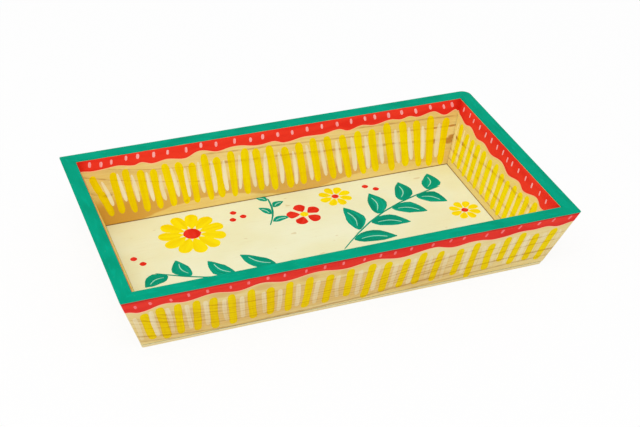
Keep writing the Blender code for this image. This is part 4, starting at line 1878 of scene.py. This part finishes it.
# A knot's row is its place along the face, height, half length and half height. A vein's is its start, end,
# height, climb, curve, thickness, strength and how broken it is.
PINES = (
    Pine(
        Side.FRONT, srgb(238, 221, 160), srgb(231, 202, 120), srgb(178, 132, 62),
        pitch=2.75 * MM, dark_part=0.32, strength=0.75, fan=(8.0, 9.0), rise=(2.3, 0.14),
        shown=(7.5 * MM, 34 * MM), first=1.2 * MM, waver=0.9 * MM,
        dense=srgb(224, 183, 106), dense_end=(0.125, 0.04), glue_top=0.0,
        smudges=(
            Knot(-97 * MM, 42 * MM, 14 * MM, 4 * MM), Knot(-71 * MM, 41 * MM, 8 * MM, 4 * MM),
            Knot(-38 * MM, 41 * MM, 8 * MM, 4 * MM), Knot(-11 * MM, 40 * MM, 4 * MM, 4 * MM),
        ),
        veins=(
            Vein(-0.157, -0.06, 13.7 * MM, -0.27, 1.78, 1.4 * MM, 0.85, 0.3),
            Vein(-0.06, 0.062, 3.9 * MM, -0.006, 0.567, 1.6 * MM, 0.95, 0.2),
            Vein(0.06, 0.16, 11.2 * MM, 0.105, -0.45, 1.5 * MM, 0.9, 0.3),
            Vein(-0.15, -0.06, 21 * MM, -0.25, 1.5, 1.1 * MM, 0.6, 0.6),
            Vein(-0.155, -0.132, 7 * MM, -0.14, 0.0, 1.1 * MM, 0.8, 0.3),
            Vein(0.045, 0.16, 4 * MM, 0.075, -0.2, 1.3 * MM, 0.8, 0.3),
            Vein(0.03, 0.158, 14.2 * MM, 0.155, -0.4, 1.1 * MM, 0.8, 0.4),
            Vein(0.045, 0.09, 26 * MM, 0.3, -2.8, 1.1 * MM, 0.8, 0.5),
            Vein(0.093, 0.16, 29.5 * MM, 0.075, 0.0, 1.1 * MM, 0.8, 0.5),
            Vein(-0.07, 0.045, 33.5 * MM, 0.0, 0.0, 1.0 * MM, 0.5, 0.8),
            Vein(-0.158, -0.107, 33.5 * MM, -0.62, 6.0, 1.0 * MM, 0.7, 0.4),
            Vein(-0.146, -0.105, 32 * MM, -0.55, 7.5, 1.0 * MM, 0.7, 0.4),
            Vein(-0.134, -0.09, 32 * MM, -0.38, 4.3, 1.0 * MM, 0.7, 0.4),
            Vein(-0.122, -0.085, 32.5 * MM, -0.3, 2.6, 1.0 * MM, 0.6, 0.5),
            Vein(-0.11, -0.05, 33 * MM, -0.26, 3.0, 1.0 * MM, 0.8, 0.5),
        ),
    ),
    Pine(
        Side.BACK, srgb(243, 218, 142), srgb(235, 205, 118), srgb(182, 124, 48),
        pitch=6.5 * MM, dark_part=0.5, strength=0.75, climb=-0.055, fan=(3.0, 0.0),
        shown=(14 * MM, 50 * MM), first=3.0 * MM, ring_share=0.3,
        smudged=srgb(182, 112, 10), bleed=0.6,
        heartwood=Heartwood(
            srgb(212, 158, 58), edge=6.5 * MM, swing=4.5 * MM, wave=150 * MM, crest_at=-60 * MM,
            fade=(0.026, 0.015), end=(0.2, 0.04),
        ),
        knots=(Knot(-139 * MM, 25 * MM, 4 * MM, 1.6 * MM), Knot(-78.5 * MM, 10.7 * MM, 1.6 * MM, 1.3 * MM)),
        smudges=(
            Knot(146 * MM, 21.3 * MM, 4.6 * MM, 2.8 * MM), Knot(149.5 * MM, 24.2 * MM, 4 * MM, 2 * MM),
            Knot(132 * MM, 22.6 * MM, 5 * MM, 2.0 * MM), Knot(131.5 * MM, 33.2 * MM, 6 * MM, 0.9 * MM),
            Knot(150 * MM, 33 * MM, 5 * MM, 0.9 * MM),
        ),
        veins=(
            Vein(-0.157, -0.06, 41.5 * MM, -0.2564, 0.678, 0.8 * MM, 0.85),
            Vein(-0.14, -0.06, 45 * MM, -0.1954, 0.958),
            Vein(-0.06, 0.148, 35.5 * MM, -0.045, -0.08, 1.6 * MM, 0.9, 0.6),
            Vein(-0.06, 0.15, 43.5 * MM, -0.045, -0.03, 1.0 * MM, 0.75),
            Vein(0.06, 0.152, 44 * MM, -0.038, 0.0, 1.0 * MM, 0.8),
            Vein(-0.155, -0.138, 29 * MM, -0.29, 0.0, 1.1 * MM, 0.5),
        ),
    ),
    Pine(
        Side.RIGHT, srgb(250, 228, 146), srgb(243, 218, 126), srgb(178, 120, 34),
        pitch=5 * MM, dark_part=0.2, strength=0.8, climb=0.02,
        shown=(10 * MM, 34 * MM), first=2.5 * MM, scored=8 * MM, ring_share=0.4,
        smudged=srgb(196, 138, 50), smudge_share=0.7, bleed=0.8,
        smudges=(
            Knot(-58 * MM, 26.3 * MM, 4.0 * MM, 1.6 * MM), Knot(-68.5 * MM, 26 * MM, 3.0 * MM, 1.4 * MM),
            Knot(-58 * MM, 16.3 * MM, 3.0 * MM, 1.5 * MM),
        ),
        veins=(
            Vein(-0.084, -0.025, 25.6 * MM, 0.03, 0.0, 2.1 * MM, 0.95, 0.95),
            Vein(-0.03, 0.084, 27.6 * MM, 0.14, -0.9, 2.1 * MM, 0.9, 0.95),
            Vein(-0.084, 0.084, 15 * MM, 0.025, 0.0, 1.8 * MM, 0.85, 0.95),
        ),
    ),
    Pine(
        Side.LEFT, srgb(243, 218, 146), srgb(235, 206, 126), srgb(184, 130, 58),
        pitch=5.5 * MM, dark_part=0.25, strength=0.6, climb=-0.03,
        fan=(7.0, 2.5), first=4.0 * MM, ends_from=(0.03, 0.0), bleed=0.8,
    ),
)


def dress_packed_parts(plywood: Plywood, steel: Steel) -> None:
    """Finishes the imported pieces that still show, which are the panel and the pins."""
    finishes = {"plywood": plywood.material(), "brad_steel": steel.material()}
    for part in frame["record"]["subparts"]:
        node = frame["nodes"][part["node"]]
        if part["material_slot"] in finishes:
            node.data.materials.clear()
            node.data.materials.append(finishes[part["material_slot"]])


def main() -> None:
    """Builds the tray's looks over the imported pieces."""
    logging.basicConfig(level=logging.INFO, format="%(name)s: %(message)s")
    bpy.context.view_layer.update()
    sizes = TraySizes.from_frame()
    plywood = Plywood()
    dress_packed_parts(plywood, Steel())
    for pine in PINES:
        Board(sizes, pine).build()
    PaintedFaces(sizes, Outline(sizes, STATION_STEP), {pine.side: pine for pine in PINES}).build()
    FloorGarden(sizes, plywood).build()
    Studio().build()


if __name__ == "__main__":
    main()
